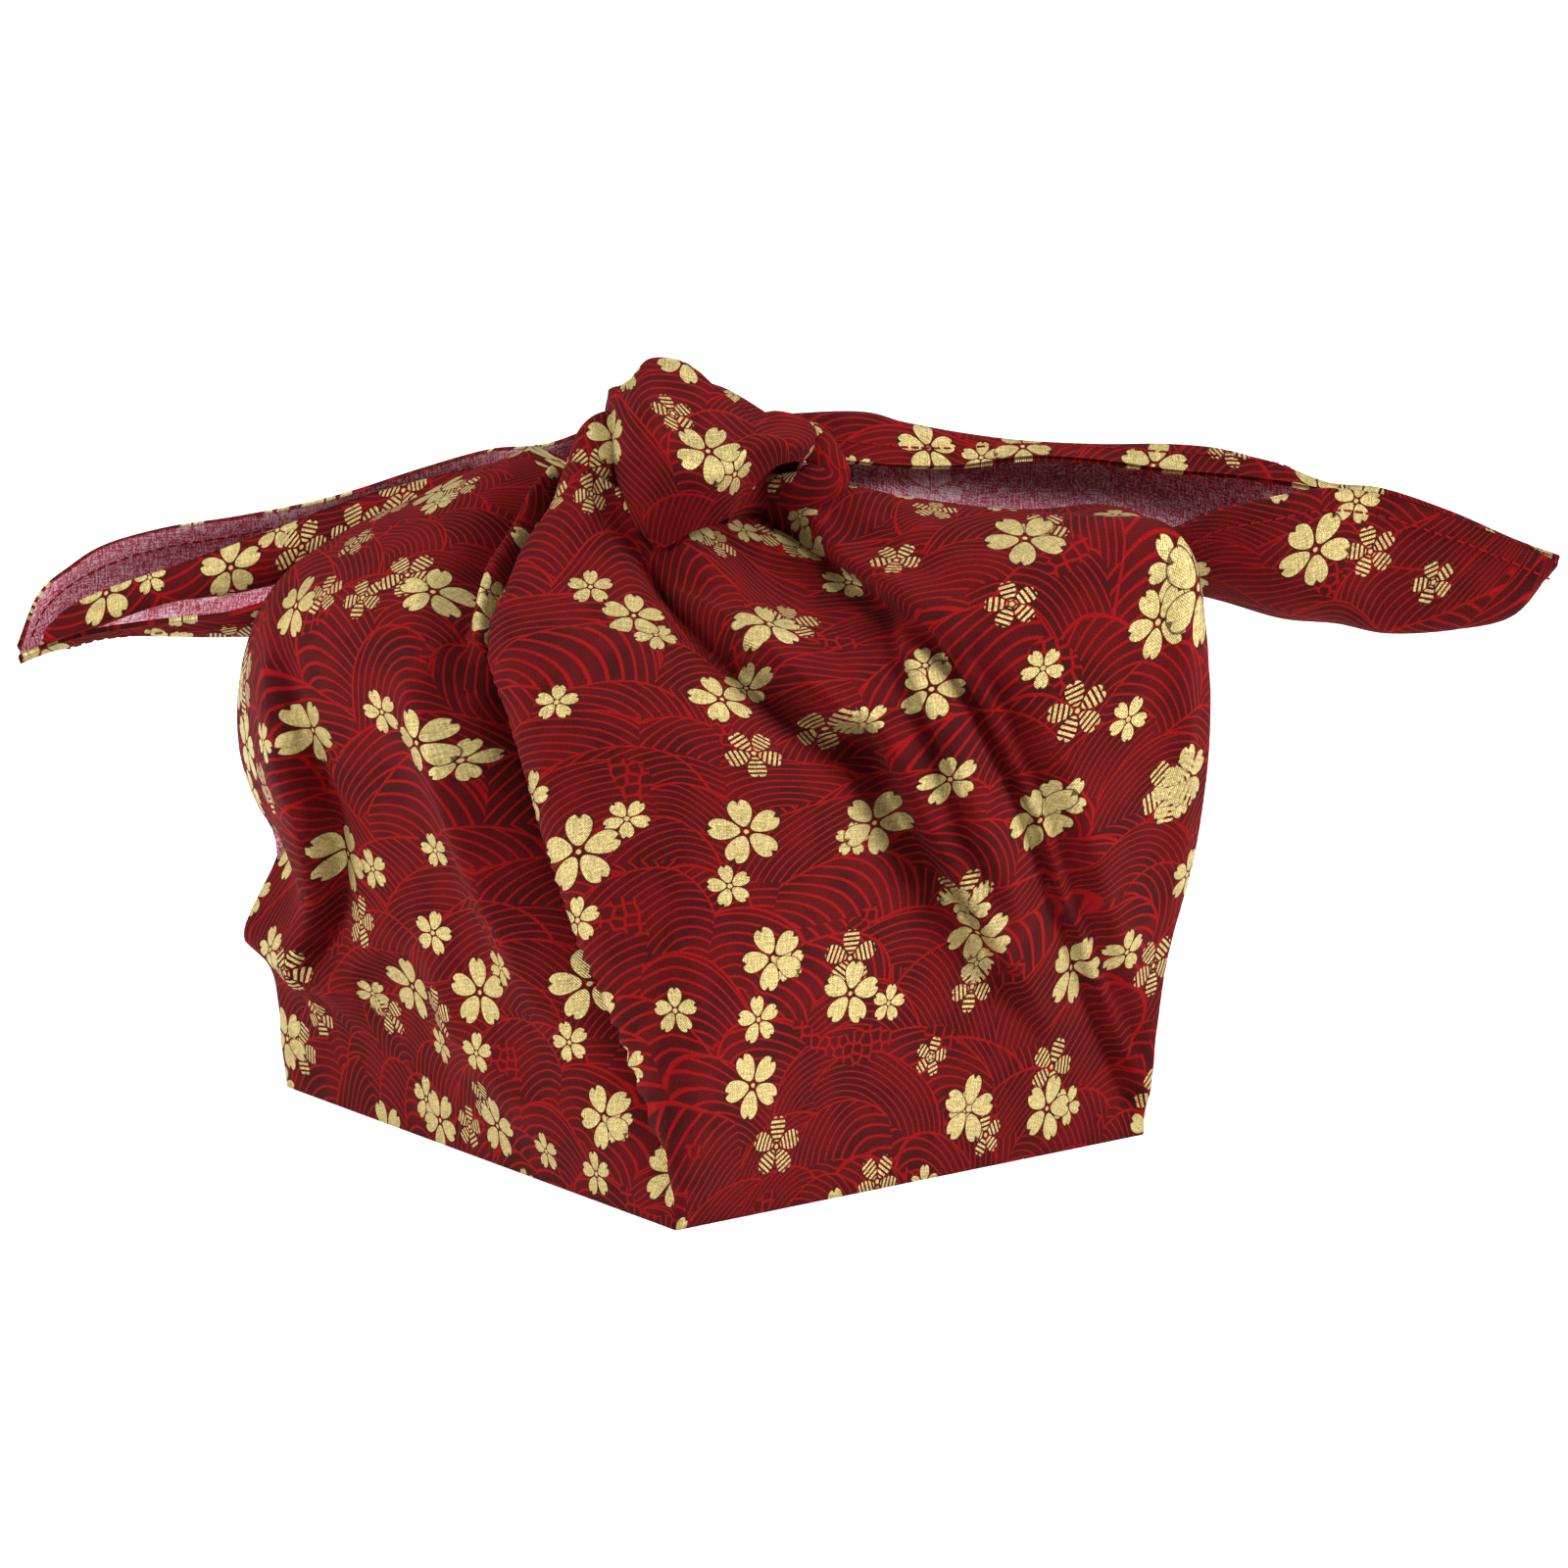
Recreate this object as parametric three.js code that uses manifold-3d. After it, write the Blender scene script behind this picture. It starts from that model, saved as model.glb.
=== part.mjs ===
import * as THREE from "three";
import Module from "manifold-3d";

// A square cotton wrapping cloth tied round a box that isn't there.
// The sheet is one piece: a flat base, four walls drawn up to a knot, and two free ends.
// Millimetres, +Z up, +X along the two free ends, -Y towards the viewer.

const CLOTH = 2.2; // thickness of the wall of cloth
const TAIL_CLOTH = 2.0; // thickness of the two free ends
const SHORT_SIDE = 113; // width of the base under its front right side
const LONG_SIDE = 131; // width of the base under its front left side
const YAW = (37.1 * Math.PI) / 180; // the base is turned so that one corner points to the viewer
const COLUMNS = 60; // steps round the wall
const RINGS = 19; // steps from the base edge to the collar of the knot
const FOOT_FADE = 0.06; // share of the wall over which folds die out at the base edge
const LEAST_FALL = 8; // the steepest side of a fold falls away over at least this width
const DEEPEST = 4.5; // folds sink no further than this, where the wrapped box would stop them
const LIP = 4; // half width of the step where a fold laps over its neighbour

// Eight upright lines round the wall, four corners and four side middles:
// front, front right, right, back right, back, back left, left, front left.
const wallLines = () => {
  const across = [Math.cos(YAW), Math.sin(YAW)];
  const along = [-Math.sin(YAW), Math.cos(YAW)];
  const sides = [
    [-1, -1],
    [0, -1],
    [1, -1],
    [1, 0],
    [1, 1],
    [0, 1],
    [-1, 1],
    [-1, 0],
  ];
  const angles = sides.map(([a, b]) =>
    Math.atan2(
      (across[1] * a * SHORT_SIDE + along[1] * b * LONG_SIDE) / 2,
      (across[0] * a * SHORT_SIDE + along[0] * b * LONG_SIDE) / 2,
    ),
  );
  for (let i = 1; i < 8; i++) while (angles[i] < angles[i - 1]) angles[i] += 2 * Math.PI;
  angles.push(angles[0] + 2 * Math.PI);
  return angles;
};
const LINE_ANGLES = wallLines();

// Rings of the wall from the base edge to the collar. Columns follow the eight lines above:
// height and distance from the middle, how straight the ring runs between lines, and its centre.
const WALL = [
  {
    height: [0, 0, 0, 0, 0, 0, 0, 0],
    out: [86.5, 65.5, 86.5, 56.5, 86.5, 65.5, 86.5, 56.5], straight: 1, mid: [0, 0],
  },
  {
    height: [17, 17, 18, 18, 18, 17, 17, 17],
    out: [86, 65.5, 87.3, 58, 86.5, 66, 86.5, 57], straight: 0.92, mid: [0, 0],
  },
  {
    height: [35, 35, 37, 36, 36, 35, 35, 35],
    out: [84, 65.5, 90.5, 61, 86, 66.5, 87.5, 58.5], straight: 0.8, mid: [0, 0],
  },
  {
    height: [53, 53, 57, 55, 54, 53, 53, 53],
    out: [80, 64.5, 95.5, 66, 85, 66, 91, 61], straight: 0.6, mid: [0, 0],
  },
  {
    height: [70, 71, 78, 73, 71, 70, 71, 71],
    out: [74, 61, 98, 70, 82, 64, 95, 63], straight: 0.45, mid: [0, 0],
  },
  {
    height: [86, 87, 99, 91, 88, 87, 88, 88],
    out: [65, 55, 98, 73, 76, 60, 92, 65], straight: 0.35, mid: [-1, 0],
  },
  {
    height: [98, 100, 116.5, 104, 99, 100, 102, 102],
    out: [53, 47, 93.5, 69, 66, 53, 84, 62], straight: 0.35, mid: [-2, 0],
  },
  {
    height: [108, 109, 119, 111, 108, 110, 113, 112],
    out: [39, 32, 78, 50, 49, 37, 68, 48], straight: 0.3, mid: [-4, -1],
  },
  {
    height: [116, 117, 121, 117, 116, 118, 122, 121],
    out: [25, 22, 48, 32, 32, 25, 46, 31], straight: 0.2, mid: [-7, -2],
  },
  {
    height: [121, 122, 124, 123, 123, 125, 130, 128],
    out: [14, 14, 20, 16, 17, 15, 24, 19], straight: 0, mid: [-10, -3],
  },
];

// Folds of the wall. Each point of a path is: upright line (0 front, 2 right, 4 back, 6 left),
// share of the way up to the collar, height of the fold. The two widths are its fall on the
// left and on the right of the path, seen from outside. Where a drop is given, the wide side
// laps over the narrow one, which sinks by that share of the height. A fold marked twice is
// also at the back.
const FOLDS = [
  { fold: "flap edge", twice: true, left: 9, right: 22, drop: 1.1, path: [
    [8, 0.005, 1], [7.96, 0.13, 4], [7.88, 0.23, 6], [7.76, 0.32, 7.5], [7.63, 0.41, 8.5],
    [7.49, 0.495, 8.5], [7.36, 0.57, 8], [7.25, 0.64, 7], [7.2, 0.69, 5.5], [7.14, 0.76, 4],
    [7.04, 0.835, 4], [6.92, 0.925, 3], [6.84, 1, 3],
  ] },
  { fold: "hollow beside the flap", twice: true, left: 9, right: 5, path: [
    [7.84, 0.15, -1], [7.64, 0.28, -4], [7.5, 0.36, -6], [7.38, 0.45, -6], [7.24, 0.54, -4],
    [7.12, 0.62, -2], [7.04, 0.7, 0],
  ] },
  { fold: "thin roll", left: 1.8, right: 1.8, path: [
    [7.2, 0.61, 2], [7.15, 0.67, 4.5], [7.06, 0.75, 6], [6.94, 0.835, 6], [6.8, 0.925, 6], [6.7, 1, 5],
  ] },
  { fold: "crease of the roll", left: 2, right: 1.8, path: [
    [7.24, 0.645, -1], [7.2, 0.69, -4], [7.12, 0.78, -6], [7, 0.87, -7], [6.9, 0.955, -7],
    [6.84, 1, -6],
  ] },
  { fold: "crease left of the roll", left: 6, right: 1.8, path: [
    [7.1, 0.61, -2], [7.04, 0.69, -4], [6.94, 0.77, -6], [6.8, 0.86, -7], [6.66, 0.94, -7],
    [6.56, 1, -5],
  ] },
  { fold: "root of the roll", left: 3.2, right: 3.2, path: [
    [7.1, 1, 4], [7.25, 0.95, 3], [7.42, 0.86, 1],
  ] },
  { fold: "front panel ridge", twice: true, left: 18, right: 9, drop: 0.8, path: [
    [7.46, 0.975, 1.5], [7.92, 0.885, 3], [8.1, 0.82, 4.5], [8.42, 0.675, 6], [8.72, 0.58, 6.5],
    [8.94, 0.545, 7], [9.04, 0.44, 6], [9.1, 0.395, 5.5], [9.24, 0.315, 4.5], [9.38, 0.245, 3],
    [9.56, 0.165, 1], [9.64, 0.13, 0],
  ] },
  { fold: "pocket under the knot", left: 2.5, right: 5, path: [
    [7.98, 0.91, -5], [8.1, 0.855, -7], [8.22, 0.81, -6], [8.34, 0.75, -2],
  ] },
  { fold: "second ridge", twice: true, left: 12, right: 7, drop: 0.8, path: [
    [1.76, 0.985, 3], [1.58, 0.93, 5], [1.38, 0.845, 6], [1.32, 0.775, 6], [1.3, 0.675, 5.5],
    [1.36, 0.545, 5], [1.4, 0.475, 5], [1.54, 0.33, 4.5], [1.64, 0.27, 4], [1.76, 0.2, 3.5],
    [1.88, 0.12, 3], [1.98, 0.04, 2],
  ] },
  { fold: "valley of the right panel", twice: true, left: 5, right: 9, path: [
    [1.72, 0.955, -4], [1.54, 0.885, -6], [1.46, 0.8, -5], [1.42, 0.7, -3], [1.44, 0.6, -2],
    [1.5, 0.5, -1],
  ] },
  { fold: "inner edge", twice: true, left: 8, right: 5, drop: 0.7, path: [
    [1.3, 0.735, 1], [1.2, 0.655, 3], [1.18, 0.6, 3.5], [1.2, 0.505, 4], [1.22, 0.445, 3.5],
    [1.26, 0.39, 3], [1.42, 0.27, 0],
  ] },
  { fold: "left ridge", left: 6, right: 15, drop: 0.9, path: [
    [6.28, 0.6, 1], [6.38, 0.52, 4], [6.42, 0.44, 6.5], [6.44, 0.39, 7], [6.38, 0.31, 6.5],
    [6.28, 0.23, 5], [6.24, 0.175, 2],
  ] },
  { fold: "hanging swag", left: 9, right: 5, drop: 0.8, path: [
    [5.7, 0.26, 4], [5.86, 0.225, 7], [6.04, 0.2, 7], [6.2, 0.185, 6], [6.32, 0.17, 4],
  ] },
  { fold: "notch over the swag", left: 6, right: 6, path: [
    [5.9, 0.31, -6], [6.08, 0.3, -7], [6.18, 0.29, -4], [6.28, 0.285, -2],
  ] },
  { fold: "right end of the swag", left: 9, right: 5, drop: 0.6, path: [
    [6.28, 0.17, 3.5], [6.42, 0.195, 4.5], [6.54, 0.23, 4.5], [6.7, 0.27, 3.5], [6.86, 0.305, 2],
    [7.06, 0.34, 0],
  ] },
  { fold: "left swell", twice: true, left: 11, right: 9, path: [
    [6.82, 0.315, 0], [6.9, 0.265, 4], [7.02, 0.185, 5.5], [7.24, 0.13, 4.5], [7.5, 0.09, 2],
  ] },
  { fold: "low crease", left: 2, right: 2, path: [
    [7.8, 0.2, -1], [7.86, 0.16, -2.5], [7.92, 0.115, -3], [7.98, 0.045, -2],
  ] },
  { fold: "free edge of the right panel", left: 12, right: 5, drop: 1, path: [
    [2, 0.5, 0], [2, 0.6, 1.5], [2, 0.68, 3], [2, 0.76, 3], [2, 0.86, 2.5], [2, 0.95, 2], [2, 1, 1],
  ] },
  { fold: "right corner", left: 3, right: 4, path: [
    [1.97, 0.2, 0], [1.93, 0.35, 1.5], [1.9, 0.5, 2], [1.93, 0.62, 1.5], [1.97, 0.7, 0],
  ] },
  { fold: "swell of the right side", left: 10, right: 16, path: [
    [2.38, 0.1, 0], [2.4, 0.25, 5], [2.4, 0.4, 8], [2.4, 0.55, 8], [2.4, 0.66, 4],
  ] },
];
const BACK_SHARE = 0.8; // the same folds at the back are this much as high

// The right free end, a trough that closes to a blunt tip. Points of each cross-section:
// folded-in edge of the far rim, far rim, far wall, bottom, near wall, near rim.
const RIGHT_END = [
  {
    edge: [10, 0, 130], rim: [8, 8, 136], wall: [8, 13, 131],
    bottom: [8, 4, 122], near: [8, -4, 124], lip: [8, -8, 127],
  },
  {
    edge: [27, -2, 129], rim: [28, 6, 137], wall: [30, 14, 132],
    bottom: [30, 6, 118], near: [28, -4, 121], lip: [27, -8, 125],
  },
  {
    edge: [38, 4, 127], rim: [38, 12, 134], wall: [39, 20, 127],
    bottom: [39, 6, 114], near: [38, -6, 119], lip: [37, -10, 123],
  },
  {
    edge: [49, 10, 126], rim: [50, 17, 131], wall: [51, 23, 123],
    bottom: [50, 8, 113], near: [49, -6, 116], lip: [48, -11, 121],
  },
  {
    edge: [62, 13, 127], rim: [62, 20, 129], wall: [63, 26, 122],
    bottom: [63, 8, 112], near: [61, -7, 114], lip: [60, -12, 119],
  },
  {
    edge: [75, 15, 126], rim: [76, 22, 128], wall: [77, 27, 121],
    bottom: [76, 8, 110], near: [74, -8, 111], lip: [72, -13, 117],
  },
  {
    edge: [89, 16, 124], rim: [89, 22, 128], wall: [90, 26, 118],
    bottom: [89, 8, 104], near: [87, -9, 109], lip: [85, -14, 117],
  },
  {
    edge: [101, 16, 123], rim: [100, 21, 127], wall: [102, 24, 115],
    bottom: [100, 6, 101], near: [98, -9, 108], lip: [97, -14, 122],
  },
  {
    edge: [111, 14, 122], rim: [111, 18, 124], wall: [112, 21, 112],
    bottom: [111, 5, 98], near: [109, -9, 105], lip: [108, -12, 124],
  },
  {
    edge: [120, 10, 121], rim: [120, 13, 121], wall: [121, 17, 108],
    bottom: [121, 5, 97], near: [120, -7, 103], lip: [118, -8, 125],
  },
  {
    edge: [130, 5, 121], rim: [130, 7, 121], wall: [131, 12, 109],
    bottom: [131, 5, 96], near: [130, -3, 99], lip: [129, -4, 123],
  },
  {
    edge: [143, 3, 117], rim: [143, 5, 117], wall: [145, 9, 106],
    bottom: [144, 5, 96], near: [144, -1, 99], lip: [143, -1, 118],
  },
  {
    edge: [155, 3, 112], rim: [155, 5, 112], wall: [157, 8, 105],
    bottom: [156, 5, 99], near: [155, 1, 100], lip: [155, 1, 113],
  },
  {
    edge: [164, 3, 109], rim: [164, 5, 109], wall: [164, 6, 108],
    bottom: [163, 5, 107], near: [163, 3, 108], lip: [163, 3, 109],
  },
];

// The left free end, a trough seen from its open side: far rim, far wall, bottom, near rim.
const LEFT_END = [
  { rim: [-17, 2, 137], wall: [-17, 8, 132], bottom: [-19, 6, 124], lip: [-21, -2, 125] },
  { rim: [-31, 12, 130], wall: [-31, 16, 124], bottom: [-32, 10, 114], lip: [-33, 2, 119] },
  { rim: [-43, 22, 127], wall: [-43, 27, 118], bottom: [-45, 18, 105], lip: [-46, 8, 113] },
  { rim: [-57, 28, 122], wall: [-57, 33, 113], bottom: [-59, 24, 98], lip: [-60, 14, 107] },
  { rim: [-70, 32, 117], wall: [-71, 37, 109], bottom: [-72, 27, 94], lip: [-73, 18, 102] },
  { rim: [-80, 34, 114], wall: [-81, 39, 105], bottom: [-82, 28, 90], lip: [-82, 19, 99] },
  { rim: [-94, 36, 111], wall: [-94, 40, 101], bottom: [-95, 29, 89], lip: [-94, 20, 95] },
  { rim: [-107, 36, 109], wall: [-108, 39, 99], bottom: [-108, 30, 89], lip: [-108, 22, 93] },
  { rim: [-119, 34, 106], wall: [-119, 36, 97], bottom: [-119, 30, 89], lip: [-119, 24, 91] },
  { rim: [-126, 31, 102], wall: [-127, 33, 96], bottom: [-127, 30, 87], lip: [-126, 26, 89] },
  { rim: [-132, 29, 97], wall: [-132, 30, 92], bottom: [-131, 29, 86], lip: [-131, 27, 87] },
  { rim: [-136, 27, 87], wall: [-136, 28, 86], bottom: [-136, 27, 84], lip: [-136, 26, 85] },
];

// The strip of the left end that is folded back inside its trough: hem, middle, fold, back.
const LEFT_STRIP = [
  { hem: [-46, 14, 125], middle: [-46, 11, 121], fold: [-46, 12, 117], back: [-47, 18, 117] },
  { hem: [-58, 20, 121], middle: [-58, 17, 116], fold: [-58, 18, 110], back: [-58, 24, 110] },
  { hem: [-70, 23, 117], middle: [-70, 20, 112], fold: [-70, 21, 105], back: [-70, 27, 105] },
  { hem: [-80, 24, 113], middle: [-80, 21, 108], fold: [-81, 22, 102], back: [-82, 28, 101] },
  { hem: [-93, 24, 108], middle: [-93, 21, 104], fold: [-93, 22, 99], back: [-93, 27, 99] },
  { hem: [-107, 24, 103], middle: [-106, 22, 100], fold: [-106, 22, 97], back: [-107, 27, 97] },
  { hem: [-118, 25, 99], middle: [-118, 23, 96], fold: [-118, 23, 93], back: [-118, 27, 92] },
  { hem: [-126, 26, 95], middle: [-126, 25, 92], fold: [-126, 25, 90], back: [-126, 28, 89] },
  { hem: [-131, 27, 90], middle: [-131, 26, 89], fold: [-131, 26, 88], back: [-131, 28, 87] },
];

// The band that wraps over the front of the knot, from its left turn to its right end.
const KNOT_BAND = [
  { top: [-8, 18, 139], crease: [-8, 20, 133], belly: [-8, 20, 125], hem: [-7, 16, 116] },
  { top: [-17, 8, 142], crease: [-19, 9, 136], belly: [-19, 8, 128], hem: [-16, 4, 119] },
  { top: [-19, -3, 143], crease: [-19, -6, 139], belly: [-19, -9, 131], hem: [-17, -14, 122] },
  { top: [-15, -9, 146], crease: [-16, -17, 141], belly: [-16, -22, 133], hem: [-14, -23, 121] },
  { top: [-11, -8, 150], crease: [-11, -22, 142], belly: [-10, -28, 133], hem: [-9, -26, 117] },
  { top: [-4, -8, 149], crease: [-4, -22, 139], belly: [-3, -29, 132], hem: [-3, -26, 120] },
  { top: [2, -9, 144], crease: [3, -20, 138], belly: [4, -27, 132], hem: [3, -24, 122] },
  { top: [8, -10, 140], crease: [9, -18, 138], belly: [9, -24, 135], hem: [7, -21, 126] },
  { top: [13, -9, 140], crease: [14, -16, 138], belly: [14, -22, 136], hem: [12, -20, 131] },
  { top: [17, -8, 139], crease: [19, -13, 137], belly: [18, -18, 135], hem: [16, -17, 132] },
  { top: [20, -5, 137], crease: [21, -8, 136], belly: [20, -12, 133], hem: [18, -13, 131] },
];

// The same band at the back of the knot, turned half round it and lower.
const BACK_BAND = { aboutX: -4, foot: 120, height: 0.55 };

// Rolled cloth in the knot: points along each roll and its half width.
const KNOT_ROLLS = [
  { roll: "loop at the right end", flat: 0.75, path: [
    [14, -2, 134, 5], [19, -7, 134, 5.5], [21, -11, 131, 5], [22, -13, 128, 5], [19, -15, 126, 5],
    [14, -15, 126, 4.5], [8, -10, 127, 4],
  ] },
  { roll: "upright roll at the left", flat: 0.8, path: [
    [-24, -20, 114, 4], [-23, -18, 122, 4.5], [-22, -15, 130, 5], [-20, -11, 136, 5],
    [-15, -4, 138, 4.5],
  ] },
  { roll: "cloth inside the knot", flat: 1, path: [
    [-20, 2, 124, 8], [-10, 0, 130, 14], [0, -2, 130, 14], [10, -2, 129, 11], [22, -1, 126, 9],
  ] },
];

// The mouth behind the knot, where the two back panels part. It opens into the hollow.
const MOUTH = { x: 5, fromY: 31, toY: 66, halfWidth: 5, fromZ: 80, toZ: 130 };

const wasm = await Module();
wasm.setup();

const spline = (points, share) => {
  const last = points.length - 1;
  const at = Math.min(Math.max(share, 0), 1) * last;
  const i = Math.min(Math.floor(at), last - 1);
  const f = at - i;
  const point = (k) => {
    if (k < 0) return points[0].map((v, a) => 2 * v - points[1][a]);
    if (k > last) return points[last].map((v, a) => 2 * v - points[last - 1][a]);
    return points[k];
  };
  const [p0, p1, p2, p3] = [i - 1, i, i + 1, i + 2].map(point);
  return p1.map(
    (v, a) =>
      0.5 *
      (2 * v +
        (p2[a] - p0[a]) * f +
        (2 * p0[a] - 5 * v + 4 * p2[a] - p3[a]) * f * f +
        (3 * v - p0[a] - 3 * p2[a] + p3[a]) * f * f * f),
  );
};

const roundLines = (values, line) => {
  const at = ((line % 8) + 8) % 8;
  const i = Math.floor(at);
  const f = at - i;
  const [a, b, c, d] = [7, 0, 1, 2].map((k) => values[(i + k) % 8]);
  const bend = (2 * a - 5 * b + 4 * c - d) * f * f + (3 * b - a - 3 * c + d) * f * f * f;
  return 0.5 * (2 * b + (c - a) * f + bend);
};

const angleAt = (line) => {
  const at = ((line % 8) + 8) % 8;
  const i = Math.floor(at);
  return LINE_ANGLES[i] + (LINE_ANGLES[i + 1] - LINE_ANGLES[i]) * (at - i);
};

const straightOut = (values, line) => {
  const at = ((line % 8) + 8) % 8;
  const i = Math.floor(at);
  const angle = angleAt(at);
  const near = values[i];
  const far = values[(i + 1) % 8];
  const [a0, a1] = [LINE_ANGLES[i], LINE_ANGLES[i + 1]];
  return (near * far * Math.sin(a1 - a0)) / (near * Math.sin(angle - a0) + far * Math.sin(a1 - angle));
};

const wallPoint = (line, up) => {
  const column = (values) => spline(WALL.map(values), up);
  const height = column((r) => r.height);
  const out = column((r) => r.out);
  const straight = column((r) => [r.straight])[0];
  const mid = column((r) => r.mid);
  const r = roundLines(out, line) * (1 - straight) + straightOut(out, line) * straight;
  const angle = angleAt(line);
  const x = mid[0] + r * Math.cos(angle);
  const y = mid[1] + r * Math.sin(angle);
  return new THREE.Vector3(x, y, roundLines(height, line));
};

const wallNormal = (line, up) => {
  const step = 0.01;
  const round = wallPoint(line + step, up).sub(wallPoint(line - step, up));
  const rise = wallPoint(line, Math.min(up + step, 1)).sub(wallPoint(line, Math.max(up - step, 0)));
  return round.cross(rise).normalize();
};

const foldRuns = FOLDS.flatMap((fold) => {
  const back = { ...fold, path: fold.path.map(([line, up, h]) => [line + 4, up, h * BACK_SHARE]) };
  return fold.twice ? [fold, back] : [fold];
}).map(({ path, left, right, drop = 0 }) => {
  const steps = path.length * 12;
  const points = [];
  for (let k = 0; k <= steps; k++) {
    const [line, up, height] = spline(path, k / steps);
    points.push({ at: wallPoint(line, Math.min(Math.max(up, 0), 1)), height });
  }
  points.forEach((p, k) => {
    const before = points[Math.max(k - 1, 0)].at;
    const after = points[Math.min(k + 1, steps)].at;
    p.along = after.clone().sub(before).normalize();
  });
  return { points, left, right, drop, steps };
});

const foldHeight = (point, normal, up) => {
  let total = 0;
  for (const { points, left, right, drop, steps } of foldRuns) {
    let best = Infinity;
    let near = 0;
    points.forEach((p, k) => {
      const gap = p.at.distanceToSquared(point);
      if (gap < best) {
        best = gap;
        near = k;
      }
    });
    const { at, along, height } = points[near];
    const off = point.clone().sub(at);
    const side = along.clone().cross(normal).dot(off);
    const width = Math.max(side > 0 ? right : left, LEAST_FALL);
    const run = near === 0 || near === steps ? 0 : off.dot(along);
    const gap2 = Math.max(best - run * run, 0);
    const rise = height * Math.exp(0.06 ** 0.75 - (gap2 / width ** 2 + 0.06) ** 0.75);
    const towardsUpper = right > left ? side : -side;
    const upper = Math.min(Math.max(towardsUpper / (2 * LIP) + 0.5, 0), 1);
    total += rise * (drop ? upper * (1 + drop) - drop : 1);
  }
  return Math.max(total, -DEEPEST) * Math.min(up / FOOT_FADE, 1);
};

// A closed body from rows of points. Each row is a closed loop, and both ends are capped.
const fromLoops = (loops) => {
  const count = loops[0].length;
  const middle = (loop) => loop.reduce((sum, p) => sum.add(p), new THREE.Vector3()).divideScalar(count);
  const points = [...loops.flat(), middle(loops[0]), middle(loops.at(-1))];
  const at = (row, k) => row * count + (k % count);
  const [foot, head] = [points.length - 2, points.length - 1];
  const faces = [];
  for (let k = 0; k < count; k++) {
    faces.push(foot, at(0, k + 1), at(0, k));
    faces.push(head, at(loops.length - 1, k), at(loops.length - 1, k + 1));
    for (let row = 0; row < loops.length - 1; row++) {
      faces.push(at(row, k), at(row, k + 1), at(row + 1, k + 1));
      faces.push(at(row, k), at(row + 1, k + 1), at(row + 1, k));
    }
  }
  const mesh = (triVerts) =>
    new wasm.Manifold(
      new wasm.Mesh({
        numProp: 3,
        vertProperties: new Float32Array(points.flatMap((p) => [p.x, p.y, p.z])),
        triVerts: new Uint32Array(triVerts),
      }),
    );
  const made = mesh(faces);
  return made.volume() > 0 ? made : mesh(faces.map((v, i) => faces[i - (i % 3) + (2 - (i % 3))]));
};

// A sheet of cloth through a table of cross-sections, thickened evenly to both sides.
const sheetThrough = (table, thickness, lengthSteps, crossSteps) => {
  const grid = [];
  for (let i = 0; i <= lengthSteps; i++) {
    const row = [];
    for (let k = 0; k <= crossSteps; k++) {
      const section = Object.keys(table[0]).map((column) =>
        spline(table.map((r) => r[column]), i / lengthSteps),
      );
      row.push(new THREE.Vector3(...spline(section, k / crossSteps)));
    }
    grid.push(row);
  }
  const normal = (i, k) => {
    const along = grid[Math.min(i + 1, lengthSteps)][k].clone().sub(grid[Math.max(i - 1, 0)][k]);
    const across = grid[i][Math.min(k + 1, crossSteps)].clone().sub(grid[i][Math.max(k - 1, 0)]);
    return along.cross(across).normalize();
  };
  const loops = grid.map((row, i) => {
    const shift = (k, sign) => row[k].clone().addScaledVector(normal(i, k), (sign * thickness) / 2);
    const upper = row.map((_, k) => shift(k, 1));
    const lower = row.map((_, k) => shift(k, -1)).reverse();
    return [...upper, ...lower];
  });
  return fromLoops(loops);
};

// Rolled cloth along a path, a little flattened.
const rollAlong = ({ path, flat }, lengthSteps, roundSteps) => {
  const up = new THREE.Vector3(0, 0, 1);
  const loops = [];
  for (let i = 0; i <= lengthSteps; i++) {
    const [x, y, z, half] = spline(path, i / lengthSteps);
    const ahead = new THREE.Vector3(...spline(path, Math.min((i + 0.5) / lengthSteps, 1)));
    const behind = new THREE.Vector3(...spline(path, Math.max((i - 0.5) / lengthSteps, 0)));
    const along = ahead.sub(behind).normalize();
    const side = new THREE.Vector3(0, 1, 0.2).addScaledVector(along, -along.y - 0.2 * along.z).normalize();
    const rise = along.clone().cross(side);
    const end = Math.sqrt(Math.sin(Math.PI * Math.min(Math.max(i / lengthSteps, 0.03), 0.97)));
    const loop = [];
    for (let k = 0; k < roundSteps; k++) {
      const turn = (2 * Math.PI * k) / roundSteps;
      loop.push(
        new THREE.Vector3(x, y, z)
          .addScaledVector(side, half * flat * end * Math.cos(turn))
          .addScaledVector(rise, half * end * Math.sin(turn)),
      );
    }
    loops.push(loop);
  }
  return fromLoops(loops);
};

// Wall of cloth: the outer face with its folds, and the inner face one thickness behind it.
const core = new THREE.Vector3(-2, 0, 60);
const outer = [];
const inner = [];
for (let row = 0; row <= RINGS; row++) {
  const up = row / RINGS;
  const outside = [];
  const inside = [];
  for (let k = 0; k < COLUMNS; k++) {
    const line = (8 * k) / COLUMNS;
    const point = wallPoint(line, up);
    const normal = wallNormal(line, up);
    const folded = point.clone().addScaledVector(normal, foldHeight(point, normal, up));
    if (row === 0) folded.z = 0;
    const inward = normal.clone().add(point.clone().sub(core).normalize()).normalize();
    const behind = folded.clone().addScaledVector(inward, -CLOTH);
    behind.z = Math.max(behind.z, row === 0 ? CLOTH : CLOTH + 0.5);
    outside.push(folded);
    inside.push(behind);
  }
  outer.push(outside);
  if (row < RINGS - 1) inner.push(inside);
}
const wall = fromLoops(outer).subtract(fromLoops(inner));

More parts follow.
